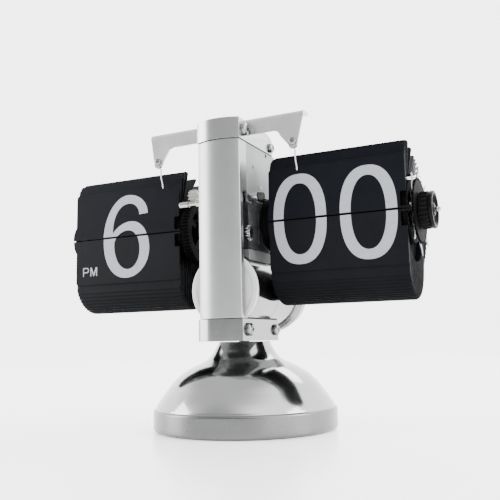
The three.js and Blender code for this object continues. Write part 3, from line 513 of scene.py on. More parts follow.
RIM_R = corner("base_dome")[1].x
NECK_TOP = corner("base_dome")[1].z
shoulder = smooth_line([
    (46.35, 12.1), (45.2, 14.0), (43.6, 16.4), (41, 19.9), (37.4, 24.4), (33.3, 28.2), (28.1, 31.5),
    (23, 33.8), (19.4, 35.8), (17.0, 38.2), (15.2, 41.2), (13.9, 43.6),
], 5)
dome_outer = [
    (RIM_R - 1.6, 0.4), (RIM_R - 0.8, 0.6), (RIM_R - 0.25, 1.1), (RIM_R, 1.9), (RIM_R, 4), (RIM_R, 7),
    (RIM_R, 9.9), (RIM_R - 0.1, 10.5), (RIM_R - 0.4, 10.95), (RIM_R - 0.75, 11.2), (RIM_R - 0.95, 11.5),
]
dome_outer += [(p.x, p.y) for p in shoulder]
dome_outer += [(13.6, NECK_TOP - 0.4), (13.2, NECK_TOP)]
dome_inner = [
    (3.1, NECK_TOP), (3.1, 43.1), (12.2, 43.1), (15, 38.6), (18.4, 34.3), (27.3, 30), (36, 23.2), (42, 14.6),
    (RIM_R - 1.7, 10.2), (RIM_R - 1.7, 0.4),
]
dome = revolve("base_dome_shell", dome_outer + dome_inner, (0, 0, 0), "Z", 144)
place(soften(dome, 0), BASE_CHROME, "clock_frame", "base_dome", "base_dome")

# ---------- screws ----------


def screw_mesh():
    """Domed crossed-recess head of radius 1, on its own axis: +X points out of the face."""
    head = [(0, -0.35), (0.97, -0.35), (1, -0.3), (1, 0.02), (0.97, 0.1), (0.86, 0.24), (0.68, 0.36),
            (0.46, 0.43), (0.22, 0.46), (0, 0.465)]
    body = revolve("screw_blank", head, (0, 0, 0), "X", 48, closed=False)
    arms = prism("screw_recess", [[
        (0.11, 0.11), (0.11, 0.52), (-0.11, 0.52), (-0.11, 0.11), (-0.52, 0.11), (-0.52, -0.11),
        (-0.11, -0.11), (-0.11, -0.52), (0.11, -0.52), (0.11, -0.11), (0.52, -0.11), (0.52, 0.11),
    ]], along_x, 0.14, 0.8)
    combine(body, arms)
    soften(body, 0.025, 2, 40)
    mesh = bake_modifiers(body).data
    bpy.data.objects.remove(body)
    return mesh


SCREW = screw_mesh()


def screw(name, centre, radius, outward, turn, slot, node, material):
    """One screw of the shared shape, its head turned by its own angle."""
    obj = link(name, SCREW.copy())
    out = Vector(outward)
    spin = Matrix.Rotation(math.radians(turn), 4, out)
    aim = out.to_track_quat("X", "Z").to_matrix().to_4x4()
    size = Matrix.Diagonal((radius * 0.9, radius, radius, 1))
    obj.data.transform(Matrix.Translation(Vector(centre) * MM) @ spin @ aim @ size)
    return place(obj, material, "clock_frame", slot, node)


for group_name, face in (("collar", "bottom_collar"), ("cap", "top_cap")):
    half = corner(face)[1].x
    for where in ("front", "rear"):
        for side, sign in (("right", 1), ("left", -1)):
            node = f"{group_name}_screw_{where}_{side}"
            low, high = corner(node)
            middle = (low + high) / 2
            radius = (high.z - low.z) / 2
            turn = {"frontright": 20, "frontleft": 65, "rearright": 48, "rearleft": 10}[where + side]
            turn += 15 if group_name == "cap" else 0
            seat_x = sign * (half + 0.35 * radius * 0.9 + 0.02)
            seat = (seat_x, middle.y, middle.z)
            screw(f"{node}_head", seat, radius, (sign, 0, 0), turn, "screws", node, SPRING)

# ---------- collar, cover, shell, cap ----------

collar_low, collar_high = corner("bottom_collar")
COLLAR_FRONT = collar_low.y + BOW
collar = prism("collar_clamp", [bowed_plan(collar_high.x, COLLAR_FRONT, collar_high.y, 2.6)], along_z,
               collar_low.z, collar_high.z)
BATTERY_R = corner("battery_front_disc")[1].x
seat = prism("collar_seat", [circle(0, BATTERY_Z, BATTERY_R + 0.3, 128)], along_y, -22.3, 40)
combine(collar, seat)
combine(collar, prism("collar_bolt_hole", [circle(0, 0, 3.1)], along_z, 40, 50))
place(soften(collar, 0.45), HOUSING, "clock_frame", "bottom_collar", "bottom_collar")

cover_low, cover_high = corner("column_front_cover")
COVER_FRONT = cover_low.y + BOW
COVER_WALL = 1.1
outer = bowed_plan(cover_high.x, COVER_FRONT, cover_high.y, 0)
inner = bowed_plan(cover_high.x, COVER_FRONT, cover_high.y + 1, 0, COVER_WALL)
front_cover = prism("front_cover", [outer], along_z, cover_low.z, cover_high.z)
combine(front_cover, prism("cover_hollow", [inner], along_z, cover_low.z - 1, cover_high.z + 1))
combine(front_cover, block("cover_cut", (-20, 20), (COVER_FRONT + 3.2, 0), (0, 121)))
place(soften(front_cover, 0.32, 3), SATIN, "clock_frame", "column_front_cover", "column_front_cover")

shell_low, shell_high = corner("column_upper_shell")
SHELL_T = 0.9
SIDE_Z = 121
wall = [
    (shell_high.x, shell_low.y), (shell_high.x, shell_high.y), (shell_low.x, shell_high.y),
    (shell_low.x, shell_low.y), (shell_low.x + SHELL_T, shell_low.y),
    (shell_low.x + SHELL_T, shell_high.y - SHELL_T), (shell_high.x - SHELL_T, shell_high.y - SHELL_T),
    (shell_high.x - SHELL_T, shell_low.y),
]
shell = prism("upper_shell", [wall], along_z, shell_low.z, shell_high.z)
combine(shell, block("shell_cut", (-20, 20), (-12, 30), (100, SIDE_Z)))
arbor_low, arbor_high = corner("reduction_gear")
ARBOR_Y = (arbor_low.y + arbor_high.y) / 2
ARBOR_Z = (arbor_low.z + arbor_high.z) / 2
POST_Y, POST_Z = -14.8, 118.2
SHELL_HOLES = (
    (ARBOR_Y, ARBOR_Z, 1.1, -20), (-9.2, 135.4, 0.8, 0), (7.3, 145.2, 1.0, 0), (POST_Y, POST_Z, 1.4, -20),
)
for u, v, r, x0 in SHELL_HOLES:
    combine(shell, prism("shell_hole", [circle(u, v, r, 24)], along_x, x0, 20))
place(soften(shell, 0.16, 2), PLATE, "clock_frame", "column_upper_shell", "column_upper_shell")

cap_low, cap_high = corner("top_cap")
CAP_FRONT = cap_low.y + BOW
cap = prism("cap_block", [bowed_plan(cap_high.x, CAP_FRONT, cap_high.y, 3)], along_z, cap_low.z, cap_high.z)
rear_slope = smooth_line([(17.4, 150.4), (16.2, 153.6), (13.4, 156.2), (9.6, 157.6), (5.5, 158)], 5)
side = [(-40, cap_low.z - 1), (30, cap_low.z - 1), (30, 150.0), (17.41, 150.0)]
side += [(p.x, p.y) for p in rear_slope] + [(0, 158.0), (-10, 158.4), (-40, 158.4)]
combine(cap, prism("cap_side", [side], along_x, -20, 20), "INTERSECT")
combine(cap, block("cap_hollow", (-7, 7), (-13, 10), (140, 154)))
soften(cap, 1.15, 5, 40)
cap = bake_modifiers(cap)
combine(cap, block("cap_slot", (-20, 20), (-16.9, -15.1), (150.5, 160)))
place(soften(cap, 0.12, 1, 50), CHROME, "clock_frame", "top_cap", "top_cap")

# ---------- balance beam, its screws and the finger wires ----------

beam_low, beam_high = corner("balance_beam")
BEAM_Y = beam_low.y
BEAM_T = 1.2
BEAM_UNDER = 150.8
ARM_TIP = beam_low.z
TOP_T = 1.2
FILLET = 4.0


def arc(u, v, r, start, end, steps):
    """Points from one angle to another, in degrees."""
    return [polar(u, v, r, math.radians(start + (end - start) * i / steps)) for i in range(steps + 1)]


TIP_R = 2.0
TIP_STEPS = 6


def tip_round(x_out, x_in):
    """Rounded lower end of an arm, from its outer to its inner side."""
    sign = 1 if x_in > x_out else -1
    turns = [polar(0, 0, TIP_R, math.radians(90 * i / TIP_STEPS)) for i in range(TIP_STEPS + 1)]
    points = [(x_out + sign * (TIP_R - c), ARM_TIP + TIP_R - s) for c, s in turns]
    return points + [(x_in - sign * (TIP_R - s), ARM_TIP + TIP_R - c) for c, s in turns]


outline = [(beam_low.x, beam_high.z - 2)]
outline += tip_round(-45, -40.4)
outline += arc(-36.8 + FILLET, BEAM_UNDER - FILLET, FILLET, 165, 90, 10)
outline += arc(30.6 - FILLET, BEAM_UNDER - FILLET, FILLET, 90, 15, 10)
outline += list(reversed(tip_round(39.6, 35)))
outline += [(beam_high.x, beam_high.z - 2)]
beam = prism("beam_plate", [outline], along_y, BEAM_Y, BEAM_Y + BEAM_T)
BEND_R = 2.2
bend = arc(BEAM_Y + BEND_R, beam_high.z - BEND_R, BEND_R, 180, 90, 8)
inside = arc(BEAM_Y + BEND_R, beam_high.z - BEND_R, BEND_R - BEAM_T, 90, 180, 8)
BACK = beam_high.y
flange = [(BEAM_Y, beam_high.z - 3)] + bend + [(BACK, beam_high.z), (BACK, beam_high.z - TOP_T)]
flange += inside + [(BEAM_Y + BEAM_T, beam_high.z - 3)]
combine(beam, prism("beam_flange", [flange], along_x, beam_low.x, beam_high.x), "UNION")
finger_x = {}
for name in ("hour", "minute"):
    low, high = corner(f"{name}_finger_screw")
    finger_x[name] = (low.x + high.x) / 2
    screw_hole = circle(finger_x[name], (low.z + high.z) / 2, 1.3, 24)
    combine(beam, prism("beam_hole", [screw_hole], along_y, -20, -10))
place(soften(beam, 0.22, 2, 35), BRUSHED, "clock_frame", "balance_beam", "balance_beam")

FINGER_Y = BEAM_Y + BEAM_T + 0.9
LOOP_R = 1.9
for name, x in finger_x.items():
    low, high = corner(f"{name}_finger_screw")
    middle_z = (low.z + high.z) / 2
    turn = 30 if name == "hour" else 75
    screw(f"{name}_finger_screw_head", (x, BEAM_Y - 0.65, middle_z), 2.0, (0, -1, 0), turn, "screws",
          f"{name}_finger_screw", SPRING)
    path = []
    for i in range(15):
        a = math.radians(60 + i * 260 / 14)
        path.append((x - LOOP_R * math.cos(a), FINGER_Y, middle_z + LOOP_R * math.sin(a)))
    tail = [path[-1], (x + 0.3, FINGER_Y + 0.1, middle_z - 3.4), (x + 0.1, FINGER_Y + 0.6, 138),
            (x, -13.2, 134.8), (x, -12.2, 132.6), (x, -11.7, 130.2)]
    bm = bmesh.new()
    add_tube(bm, path[:-1] + smooth_line(tail, 6), 0.42, 12)
    bar = from_bmesh(f"{name}_finger_wire", bm)
    place(soften(bar, 0), STEEL, f"{name}_wire", "wires", f"{name}_finger")

# ---------- stop posts ----------


def post_profile(stations):
    """(radius, x) points with small rounded corners between stacked round steps."""
    points = [(0, stations[0][1])]
    for r, x0, x1 in stations:
        e = min(0.25, (x1 - x0) / 3)
        points += [(r - e, x0), (r - e * 0.3, x0 + e * 0.3), (r, x0 + e)]
        points += [(r, x1 - e), (r - e * 0.3, x1 - e * 0.3), (r - e, x1)]
    points.append((0, stations[-1][2]))
    return points


left_post = revolve("left_stop_post", post_profile([
    (1.7, -29.6, -24.2), (1.1, -24.2, -19.2), (2.2, -19.2, -11.9), (1.1, -11.9, -9.2),
]), (0, POST_Y, POST_Z), "X", 40, closed=False)
place(soften(left_post, 0), CHROME, "clock_frame", "stop_posts", "stop_post_left")
right_post = revolve("right_stop_post", post_profile([
    (1.1, 9.2, 11.9), (2.3, 11.9, 17.0), (1.1, 17.0, 19.2),
]), (0, POST_Y, POST_Z), "X", 40, closed=False)
place(soften(right_post, 0), CHROME, "clock_frame", "stop_posts", "stop_post_right")
boot = revolve("post_tip_boot", [
    (1.25, 17.3), (1.8, 17.3), (2.0, 17.5), (2.05, 17.9), (1.9, 18.2), (2.0, 18.5), (1.9, 19.2),
    (1.75, 19.8), (1.5, 20.05), (0, 20.1), (0, 19.5), (1.25, 19.5),
], (0, POST_Y, POST_Z), "X", 36)
place(soften(boot, 0), RUBBER, "clock_frame", "stop_post_tip", "stop_post_tip")

# ---------- battery housing ----------

f = corner("battery_front_disc")[0].y
disc = revolve("battery_disc", [
    (0, f + 0.5), (4, f + 0.5), (4.3, f + 0.42), (4.6, f + 0.5), (15.2, f + 0.5), (15.6, f + 0.4),
    (15.9, f + 0.12), (16.3, f), (18.1, f), (18.5, f + 0.12), (18.7, f + 0.4), (18.75, f + 0.8),
    (18.75, f + 1.6), (0, f + 1.6),
], (0, 0, BATTERY_Z), "Y", 128, closed=False)
place(soften(disc, 0), DISC, "clock_frame", "battery_front_disc", "battery_front_disc")

tube_low, tube_high = corner("battery_housing")
t, e = tube_low.y, tube_high.y
RIM = tube_high.x
housing = revolve("battery_tube", [
    (0, t), (18.2, t), (18.6, t + 0.15), (18.75, t + 0.6), (18.75, 4), (18.6, 4.2), (18.6, 4.8), (18.75, 5),
    (18.75, e - 2.8), (18.9, e - 2.4), (19.4, e - 2.1), (20.2, e - 1.95), (RIM - 0.1, e - 1.7),
    (RIM, e - 1.2), (RIM, e - 0.3), (RIM - 0.3, e), (17.55, e), (17.55, t + 1.2), (0, t + 1.2),
], (0, 0, BATTERY_Z), "Y", 128, closed=False)
place(soften(housing, 0), HOUSING, "clock_frame", "battery_housing", "battery_housing")

rear_low, rear_high = corner("battery_rear_cap")
cap_y0, cap_y1, RC = rear_low.y, rear_high.y, rear_high.x
FLUTES = 60
FLUTE_DEPTH = 0.35
rear_profile = [
    (RC - 0.3, cap_y0), (RC, cap_y0 + 0.3), (RC, 35.9), (RC - 0.25, 36.3), (20.2, 36.9), (19.6, 37.6),
]
grip = [(19.5, 38.2), (19.35, 40.5), (19.2, 42.6)]
crown = [(18.9, 43.6), (18.3, 44.9), (17.4, 46.0), (16, 46.8), (14.5, 47.1), (13.6, cap_y1), (0, cap_y1)]
segments = FLUTES * 4
bm = bmesh.new()
rows = []
for r, h in [(0, cap_y0)] + rear_profile + grip + crown:
    fluted = (r, h) in grip
    count = 1 if r == 0 else segments
    ring = []
    for i in range(count):
        a = TAU * i / segments
        x, z = polar(0, BATTERY_Z, r - (FLUTE_DEPTH if fluted and i % 4 in (0, 1) else 0), a)
        ring.append(bm.verts.new(Vector((x, h, z)) * MM))
    rows.append(ring)
bridge(bm, rows)
rear = from_bmesh("battery_rear_cover", bm)
combine(rear, prism("rear_bore", [circle(0, BATTERY_Z, 17.5, 96)], along_y, 30, 45.8))
slot_shape = round_rect(-9, 9, BATTERY_Z - 1, BATTERY_Z + 1, (1, 1, 1, 1), 6)
combine(rear, prism("coin_slot", [slot_shape], along_y, cap_y1 - 0.9, cap_y1 + 2))
place(soften(rear, 0), HOUSING, "rear_cap", "battery_rear_cap", "battery_rear_cap")

# ---------- gearbox ----------

box_low, box_high = corner("gearbox_front")
pin_low, pin_high = corner("drive_pinion")
PIN_Y = (pin_low.y + pin_high.y) / 2
PIN_Z = (pin_low.z + pin_high.z) / 2
case = block("gearbox_case", (box_low.x, box_high.x), (box_low.y, box_high.y), (box_low.z, box_high.z))
combine(case, block("case_hollow", (box_low.x + 0.8, box_high.x - 0.8), (box_low.y + 0.8, 0),
                    (box_low.z + 0.8, box_high.z - 0.8)))
combine(case, prism("case_hole", [circle(PIN_Y, PIN_Z, 0.9, 24)], along_x, 5, 20))
for z0 in (96.4, 103.2, 110.0):
    groove_y = (box_low.y + 0.9, box_high.y - 0.9)
    combine(case, block("case_groove", (box_high.x - 0.25, 20), groove_y, (z0, z0 + 0.7)))
place(soften(case, 0.3, 3), BLACK, "clock_frame", "gearbox_front", "gearbox_front")

smoke_low, smoke_high = corner("gearbox_cover")
HUMP_Y = -7
RIB = 0.5
x0, x1 = smoke_low.x, smoke_high.x - RIB
body = [(smoke_low.y, smoke_low.z), (smoke_high.y, smoke_low.z), (smoke_high.y, smoke_high.z),
        (HUMP_Y, smoke_high.z), (HUMP_Y, 115), (smoke_low.y, 115)]
smoked = prism("smoked_gear_cover", [body], along_x, x0, x1)
hollow = [(smoke_low.y - 1, smoke_low.z + 0.8), (smoke_high.y - 0.8, smoke_low.z + 0.8),
          (smoke_high.y - 0.8, smoke_high.z - 0.8), (HUMP_Y + 0.8, smoke_high.z - 0.8), (HUMP_Y + 0.8, 114.2),
          (smoke_low.y - 1, 114.2)]
combine(smoked, prism("smoke_hollow", [hollow], along_x, x0 - 1, x1 - 1.1))
combine(smoked, prism("smoke_hole", [circle(AXIS_Y, AXIS_Z, 1.25, 32)], along_x, 5, 20))
SMOKE_RIBS = ((-14, -13.3, 95, 112), (-4.2, -3.5, 95, 112), (-14, -3.5, 111.4, 112), (-14, -3.5, 103.4, 104))
for y0, y1, z0, z1 in SMOKE_RIBS:
    combine(smoked, block("smoke_rib", (x1 - 0.4, x1 + RIB), (y0, y1), (z0, z1)), "UNION")
place(soften(smoked, 0.18, 2), SMOKE, "clock_frame", "gearbox_cover", "gearbox_cover")

# ---------- toothed wheels ----------


def tooth_outline(teeth, root, tip, cy, cz, phase, thickness):
    """Rounded-flank teeth; phase turns the wheel, in teeth, and thickness below 1 slims them."""
    shape = ((-0.36, 0.0), (-0.27, 0.25), (-0.2, 0.6), (-0.13, 0.95), (-0.06, 1.0),
             (0.06, 1.0), (0.13, 0.95), (0.2, 0.6), (0.27, 0.25), (0.36, 0.0))
    points = []
    for i in range(teeth):
        for share, high in shape:
            r = root + (tip - root) * high
            points.append(polar(cy, cz, r, TAU * (i + phase + share * thickness) / teeth))
    return points


def phase_of(node, teeth, cy, cz, x_range=None):
    """Where a CAD wheel's teeth stand, so that the visible wheel meshes the same way."""
    best, angle = 0, 0
    for v in nodes[node].data.vertices:
        p = v.co / MM
        if x_range and not x_range[0] <= p.x <= x_range[1]:
            continue
        r = math.hypot(p.y - cy, p.z - cz)
        if r > best + 1e-3:
            best, angle = r, math.atan2(p.z - cz, p.y - cy)
    peaks = []
    for v in nodes[node].data.vertices:
        p = v.co / MM
        if x_range and not x_range[0] <= p.x <= x_range[1]:
            continue
        if math.hypot(p.y - cy, p.z - cz) > best - 0.01:
            turn = (math.atan2(p.z - cz, p.y - cy) - angle) * teeth / TAU
            peaks.append(turn - round(turn))
    return angle * teeth / TAU + sum(peaks) / len(peaks)


def gear(bm, teeth, root, tip, cy, cz, x, phase=0.0, holes=(), thickness=1.0):
    rim = tooth_outline(teeth, root, tip, cy, cz, phase, thickness)
    add_prism(bm, [rim, *holes], along_x, x[0], x[1])


bm = bmesh.new()
pinion_phase = phase_of("drive_pinion", 10, PIN_Y, PIN_Z, (4.9, 7.5))
gear(bm, 10, 1.9, 2.85, PIN_Y, PIN_Z, (5, 7.4), pinion_phase, thickness=0.72)
pinion = from_bmesh("motor_pinion", bm)
for x0, x1, r in ((2, 13.4, 0.75), (11.6, 12.0, 2.4), (13.3, 14.0, 2.2)):
    combine(pinion, prism("pinion_part", [circle(PIN_Y, PIN_Z, r)], along_x, x0, x1), "UNION")
small = bmesh.new()
gear(small, 12, 2.75, 4.0, PIN_Y, PIN_Z, (11.85, 13.8))
combine(pinion, from_bmesh("pinion_wheel", small), "UNION")
place(soften(pinion, 0.08, 2, 35), STEEL, "pinion", "drive_pinion", "drive_pinion")

ring_low, ring_high = corner("hour_ring_gear")
ring_phase = phase_of("hour_ring_gear", 60, AXIS_Y, AXIS_Z)
bm = bmesh.new()
gear(bm, 60, 17.34, 18.54, AXIS_Y, AXIS_Z, (ring_low.x, ring_high.x), ring_phase,
     [hole(AXIS_Y, AXIS_Z, 13.6, 96)])
ring = from_bmesh("hour_ring_wheel", bm)
SPOKES = 5
for i in range(SPOKES):
    a = TAU * i / SPOKES + 0.3
    c, s = math.cos(a), math.sin(a)
    shape = [(4.9, -1.9), (7, -1.5), (12.5, -1.2), (14.4, -1.9)]
    shape += [(u, -v) for u, v in reversed(shape)]
    points = [(AXIS_Y + u * c - v * s, AXIS_Z + u * s + v * c) for u, v in shape]
    spoke = prism("spoke", [points], along_x, ring_low.x + 1, ring_high.x - 1)
    combine(ring, spoke, "UNION")
hub_part = prism("ring_hub", [circle(AXIS_Y, AXIS_Z, 6.2, 64)], along_x, ring_low.x, ring_high.x)
combine(ring, hub_part, "UNION")
combine(ring, prism("ring_bore", [circle(AXIS_Y, AXIS_Z, 3.55, 48)], along_x, -60, 0))
place(soften(ring, 0.15, 2, 40), DULL, "hour_drum", "hour_ring_gear", "hour_ring_gear")

# ---------- hubs ----------


SLOT_DEPTH = 0.3
WINDOWS = 6
WINDOW_R = (8.2, 12.2)
WINDOW_GAP = 0.16


def flange(name, x, count, rim, bore):
    """Flange with one leaf-pin notch per leaf round its rim and a ring of windows."""
    points = []
    low = rim - SLOT_DEPTH
    for i in range(count):
        for share, r in ((-0.5, rim), (-0.25, rim), (-0.2, low), (0.2, low), (0.25, rim)):
            points.append(polar(AXIS_Y, AXIS_Z, r, TAU * (i + share) / count))
    windows = []
    for i in range(WINDOWS):
        start, stop = TAU * i / WINDOWS + WINDOW_GAP, TAU * (i + 1) / WINDOWS - WINDOW_GAP
        sweep = [start + (stop - start) * k / 10 for k in range(11)]
        far = [polar(AXIS_Y, AXIS_Z, WINDOW_R[1], a) for a in sweep]
        near = [polar(AXIS_Y, AXIS_Z, WINDOW_R[0], a) for a in reversed(sweep)]
        windows.append(list(reversed(far + near)))
    piece = prism(name, [points, *windows], along_x, x[0], x[1])
    return combine(piece, prism("flange_bore", [circle(AXIS_Y, AXIS_Z, bore)], along_x, x[0] - 1, x[1] + 1))


INNER_RIM = 15.6
hour_hub_low, hour_hub_high = corner("hour_hub")
minute_hub_low = corner("minute_hub")[0]
END_DRUM_R = 14.2
HUBS = (
    ("minute", MINUTE_X[1], 60, 1.3, minute_hub_low.x),
    ("hour", HOUR_X[1], 48, 1.25, hour_hub_low.x),
)
for name, leaf_end, count, bore, start in HUBS:
    right = flange(f"{name}_flange_right", (leaf_end - 2.6, leaf_end - 0.4), count, INNER_RIM, bore)
    place(soften(right, 0), DULL, f"{name}_drum", "hubs", f"{name}_hub")
    tube = revolve(f"{name}_hub_barrel", [
        (bore, start), (5.1, start), (5.5, start + 0.4), (5.5, leaf_end - 3.0), (5.1, leaf_end - 2.6),
        (bore, leaf_end - 2.6),
    ], AXLE, "X", 48)
    place(soften(tube, 0), DULL, f"{name}_drum", "hubs", f"{name}_hub")
outer_disc = flange("hour_flange_left", (hour_hub_low.x, hour_hub_low.x + 1.2), 48, 15.0, 5.55)
place(soften(outer_disc, 0.15, 2, 50), DULL, "hour_drum", "hubs", "hour_hub")
drum_x0, drum_x1 = minute_hub_low.x, MINUTE_X[0] - 0.4
end_drum = revolve("minute_end_drum", [
    (5.55, drum_x0), (END_DRUM_R - 0.5, drum_x0), (END_DRUM_R - 0.15, drum_x0 + 0.15),
    (END_DRUM_R, drum_x0 + 0.5), (END_DRUM_R, drum_x0 + 1.6), (END_DRUM_R - 0.3, drum_x0 + 1.8),
    (END_DRUM_R - 0.3, drum_x0 + 2.3),
    (END_DRUM_R, drum_x0 + 2.5), (END_DRUM_R, drum_x1 - 0.5), (END_DRUM_R - 0.15, drum_x1 - 0.15),
    (END_DRUM_R - 0.5, drum_x1), (5.55, drum_x1),
], AXLE, "X", 96)
place(soften(end_drum, 0), DULL, "minute_drum", "hubs", "minute_hub")
sleeve = revolve("hour_hub_sleeve", [
    (1.25, HOUR_X[1] - 0.4), (3.4, HOUR_X[1] - 0.4), (3.4, hour_hub_high.x - 0.3), (3.1, hour_hub_high.x),
    (1.25, hour_hub_high.x),
], AXLE, "X", 40)
place(soften(sleeve, 0), DULL, "hour_drum", "hubs", "hour_hub")

# ---------- axle, star spring, setting wheel, knob ----------

a0, a1 = axle_low.x, axle_high.x
axle = revolve("drum_axle", [
    (0, a0), (0.75, a0), (1.05, a0 + 0.15), (1.15, a0 + 0.5), (1.15, -60), (1.15, 0), (1.15, 60),
    (1.15, a1 - 1.6), (0.98, a1 - 1.45), (0.98, a1 - 1.15), (1.15, a1 - 1.0), (1.15, a1 - 0.4),
    (1.02, a1 - 0.1), (0.8, a1), (0, a1),
], AXLE, "X", 40, closed=False)
place(soften(axle, 0), STEEL, "minute_drum", "main_axle", "main_axle")

star_low, star_high = corner("minute_star_spring")
STAR_R = star_high.z - AXIS_Z
STAR_T = 0.45
ARMS = 8
bm = bmesh.new()
BENDS = (
    (11.0, 0.0, 2.6), (13.0, 0.0, 2.2), (15.0, 0.05, 1.8), (16.8, 0.3, 1.45), (18.4, 0.6, 1.1),
    (19.8, 0.8, 0.8), (21.2, 0.9, 0.5), (STAR_R, 0.92, 0.25),
)
for i in range(ARMS):
    a = TAU * i / ARMS
    c, s = math.cos(a), math.sin(a)
    rows = []
    for r, push, half in BENDS:
        row = []
        for v, w in ((-half, 0), (half, 0), (half, STAR_T), (-half, STAR_T)):
            row.append(bm.verts.new(Vector((
                star_low.x + push + w, AXIS_Y + r * c - v * s, AXIS_Z + r * s + v * c)) * MM))
        rows.append(row)
    bridge(bm, rows)
    bm.faces.new(rows[0])
    bm.faces.new(rows[-1])
star = from_bmesh("star_spring", bm)
star_rings = [circle(AXIS_Y, AXIS_Z, 12, 96), hole(AXIS_Y, AXIS_Z, 1.3)]
plate = prism("star_plate", star_rings, along_x, star_low.x, star_low.x + STAR_T)
combine(star, plate, "UNION")
place(soften(star, 0.1, 2, 40), SPRING, "minute_drum", "star_spring", "minute_star_spring")

wheel_low, wheel_high = corner("minute_setting_wheel")
WHEEL_R = wheel_high.z - AXIS_Z
bm = bmesh.new()
gear(bm, 72, WHEEL_R - 1.3, WHEEL_R, AXIS_Y, AXIS_Z, (wheel_low.x, wheel_high.x), 0.0,
     [hole(AXIS_Y, AXIS_Z, 1.3)])
setting = from_bmesh("setting_wheel", bm)
place(soften(setting, 0.06, 1, 45), DULL, "minute_drum", "setting_wheel", "minute_setting_wheel")

knob_low, knob_high = corner("minute_knob")
KNOB_R = knob_high.z - AXIS_Z
GRIPS = 26
STEPS = 8
stations = (
    (knob_low.x, KNOB_R - 0.55, 0.0), (knob_low.x + 0.25, KNOB_R - 0.3, 0.15),
    (knob_low.x + 0.6, KNOB_R, 0.65),
    (98.4, KNOB_R, 0.65), (98.9, KNOB_R - 0.25, 0.2), (99.2, KNOB_R - 0.35, 0.0), (99.5, KNOB_R - 0.15, 0.0),
    (99.8, KNOB_R, 0.0), (100.8, KNOB_R, 0.0), (101.2, KNOB_R - 0.15, 0.0), (knob_high.x, KNOB_R - 0.5, 0.0),
    (knob_high.x, KNOB_R - 1.5, 0.0), (101.2, KNOB_R - 1.8, 0.0), (100.3, KNOB_R - 2.0, 0.0),
    (100.0, KNOB_R - 2.4, 0.0), (100.0, 3.6, 0.0), (100.2, 3.3, 0.0), (100.9, 3.1, 0.0), (101.1, 2.8, 0.0),
    (101.1, 1.3, 0.0), (knob_low.x, 1.3, 0.0),
)
bm = bmesh.new()
rows = []
for x, r, depth in stations:
    ring_points = []
    for i in range(GRIPS * STEPS):
        a = TAU * i / (GRIPS * STEPS)
        wave = 0.5 - 0.5 * math.cos(a * GRIPS)
        place_at = polar(AXIS_Y, AXIS_Z, r - depth * wave ** 0.6, a)
        ring_points.append(bm.verts.new(Vector((x, *place_at)) * MM))
    rows.append(ring_points)
bridge(bm, rows, closed=True)
knob = from_bmesh("setting_knob", bm)
place(soften(knob, 0), BLACK, "minute_drum", "knob", "minute_knob")

# ---------- leaves ----------

# how far a leaf leans back, in degrees, by how far round the drum its pin sits
LEAN = (
    (-2, 1), (4, 1.6), (10, 2.6), (16, 4), (22, 7), (28, 11.5), (34, 17), (40, 33), (46, 47), (52, 53),
    (60, 61), (70, 71), (80, 81), (100, 100), (120, 120), (140, 141), (160, 162), (176, 177), (186, 180),
    (352, 180),
)
ROOT_Y = FRONT_Y + 1.3
FIRST_LEAF = 4
LAST_LEAF = 345


def lean_at(theta):
    for (t0, a0), (t1, a1) in zip(LEAN, LEAN[1:]):
        if theta <= t1:
            return a0 + (a1 - a0) * (theta - t0) / (t1 - t0)
    return 180


TAB_CURVE = ((0, 1), (0.4, 0.84), (0.7, 0.62), (0.9, 0.36), (0.98, 0.16))


def leaf_outline(x, length, root, tabs=(0.0, 0.0), tab_h=0.0):
    """Plate outline in X and height: rounded free corners, pin tabs at the root, notch at the right end."""
    inner = x[1] - NOTCH_W
    points = [(x[0], root), (inner, root)]
    if tabs[1]:
        points += [(x[1] + tabs[1], root), (x[1] + tabs[1], root + PIN_H), (inner, root + PIN_H)]
    points += [(inner, NOTCH_H), (x[1], NOTCH_H)]
    points += round_rect(x[0], x[1], root, length, (0, 0, CORNER_R, CORNER_R), 6)[2:]
    if tabs[0]:
        points += [(x[0] - tabs[0] * out, tab_h * up) for out, up in TAB_CURVE]
        points += [(x[0] - tabs[0], root), (x[0], root)]
    return list(dict.fromkeys(points))


def leaf_place(theta):
    """Where a pack leaf sits: (x, height, thickness) to a point in mm."""
    lean = math.radians(lean_at(theta))
    y = max(AXIS_Y - PIN_R * math.cos(math.radians(theta)), ROOT_Y)
    z = AXIS_Z + PIN_R * math.sin(math.radians(theta))
    c, s = math.cos(lean), math.sin(lean)
    return lambda u, v, w: (u, y + w * c + v * s, z - w * s + v * c)


def flip_place(u, v, w):
    """The flip leaf: height from the hinge line, thickness backwards, leaning slightly back."""
    a = math.radians(FLIP_LEAN)
    return (u, FRONT_Y + w * math.cos(a) + v * math.sin(a), SPLIT_Z - w * math.sin(a) + v * math.cos(a))


def front_place(u, v, w):
    """The hanging front leaf: height down from the hinge line, thickness backwards."""
    return (u, FRONT_Y + 0.3 + w, SPLIT_Z - v)


def pack_piece(name, x, first, count, step, material, stands_for):
    bm = bmesh.new()
    for i in range(count):
        theta = first + i * step
        wobble = 0.03 * math.sin(i * 2.4 + x[0])
        length = LEAF_L - 0.03 * abs(math.sin(i * 1.7))
        outline = leaf_outline((x[0] + 0.1 + wobble, x[1] - 0.1 + wobble), length, -0.4)
        add_prism(bm, [outline], leaf_place(theta), -PACK_LEAF_T / 2, PACK_LEAF_T / 2)
    piece = from_bmesh(name, bm)
    return place(soften(piece, 0.11, 2, 50), material, "clock_frame", "leaves", stands_for)


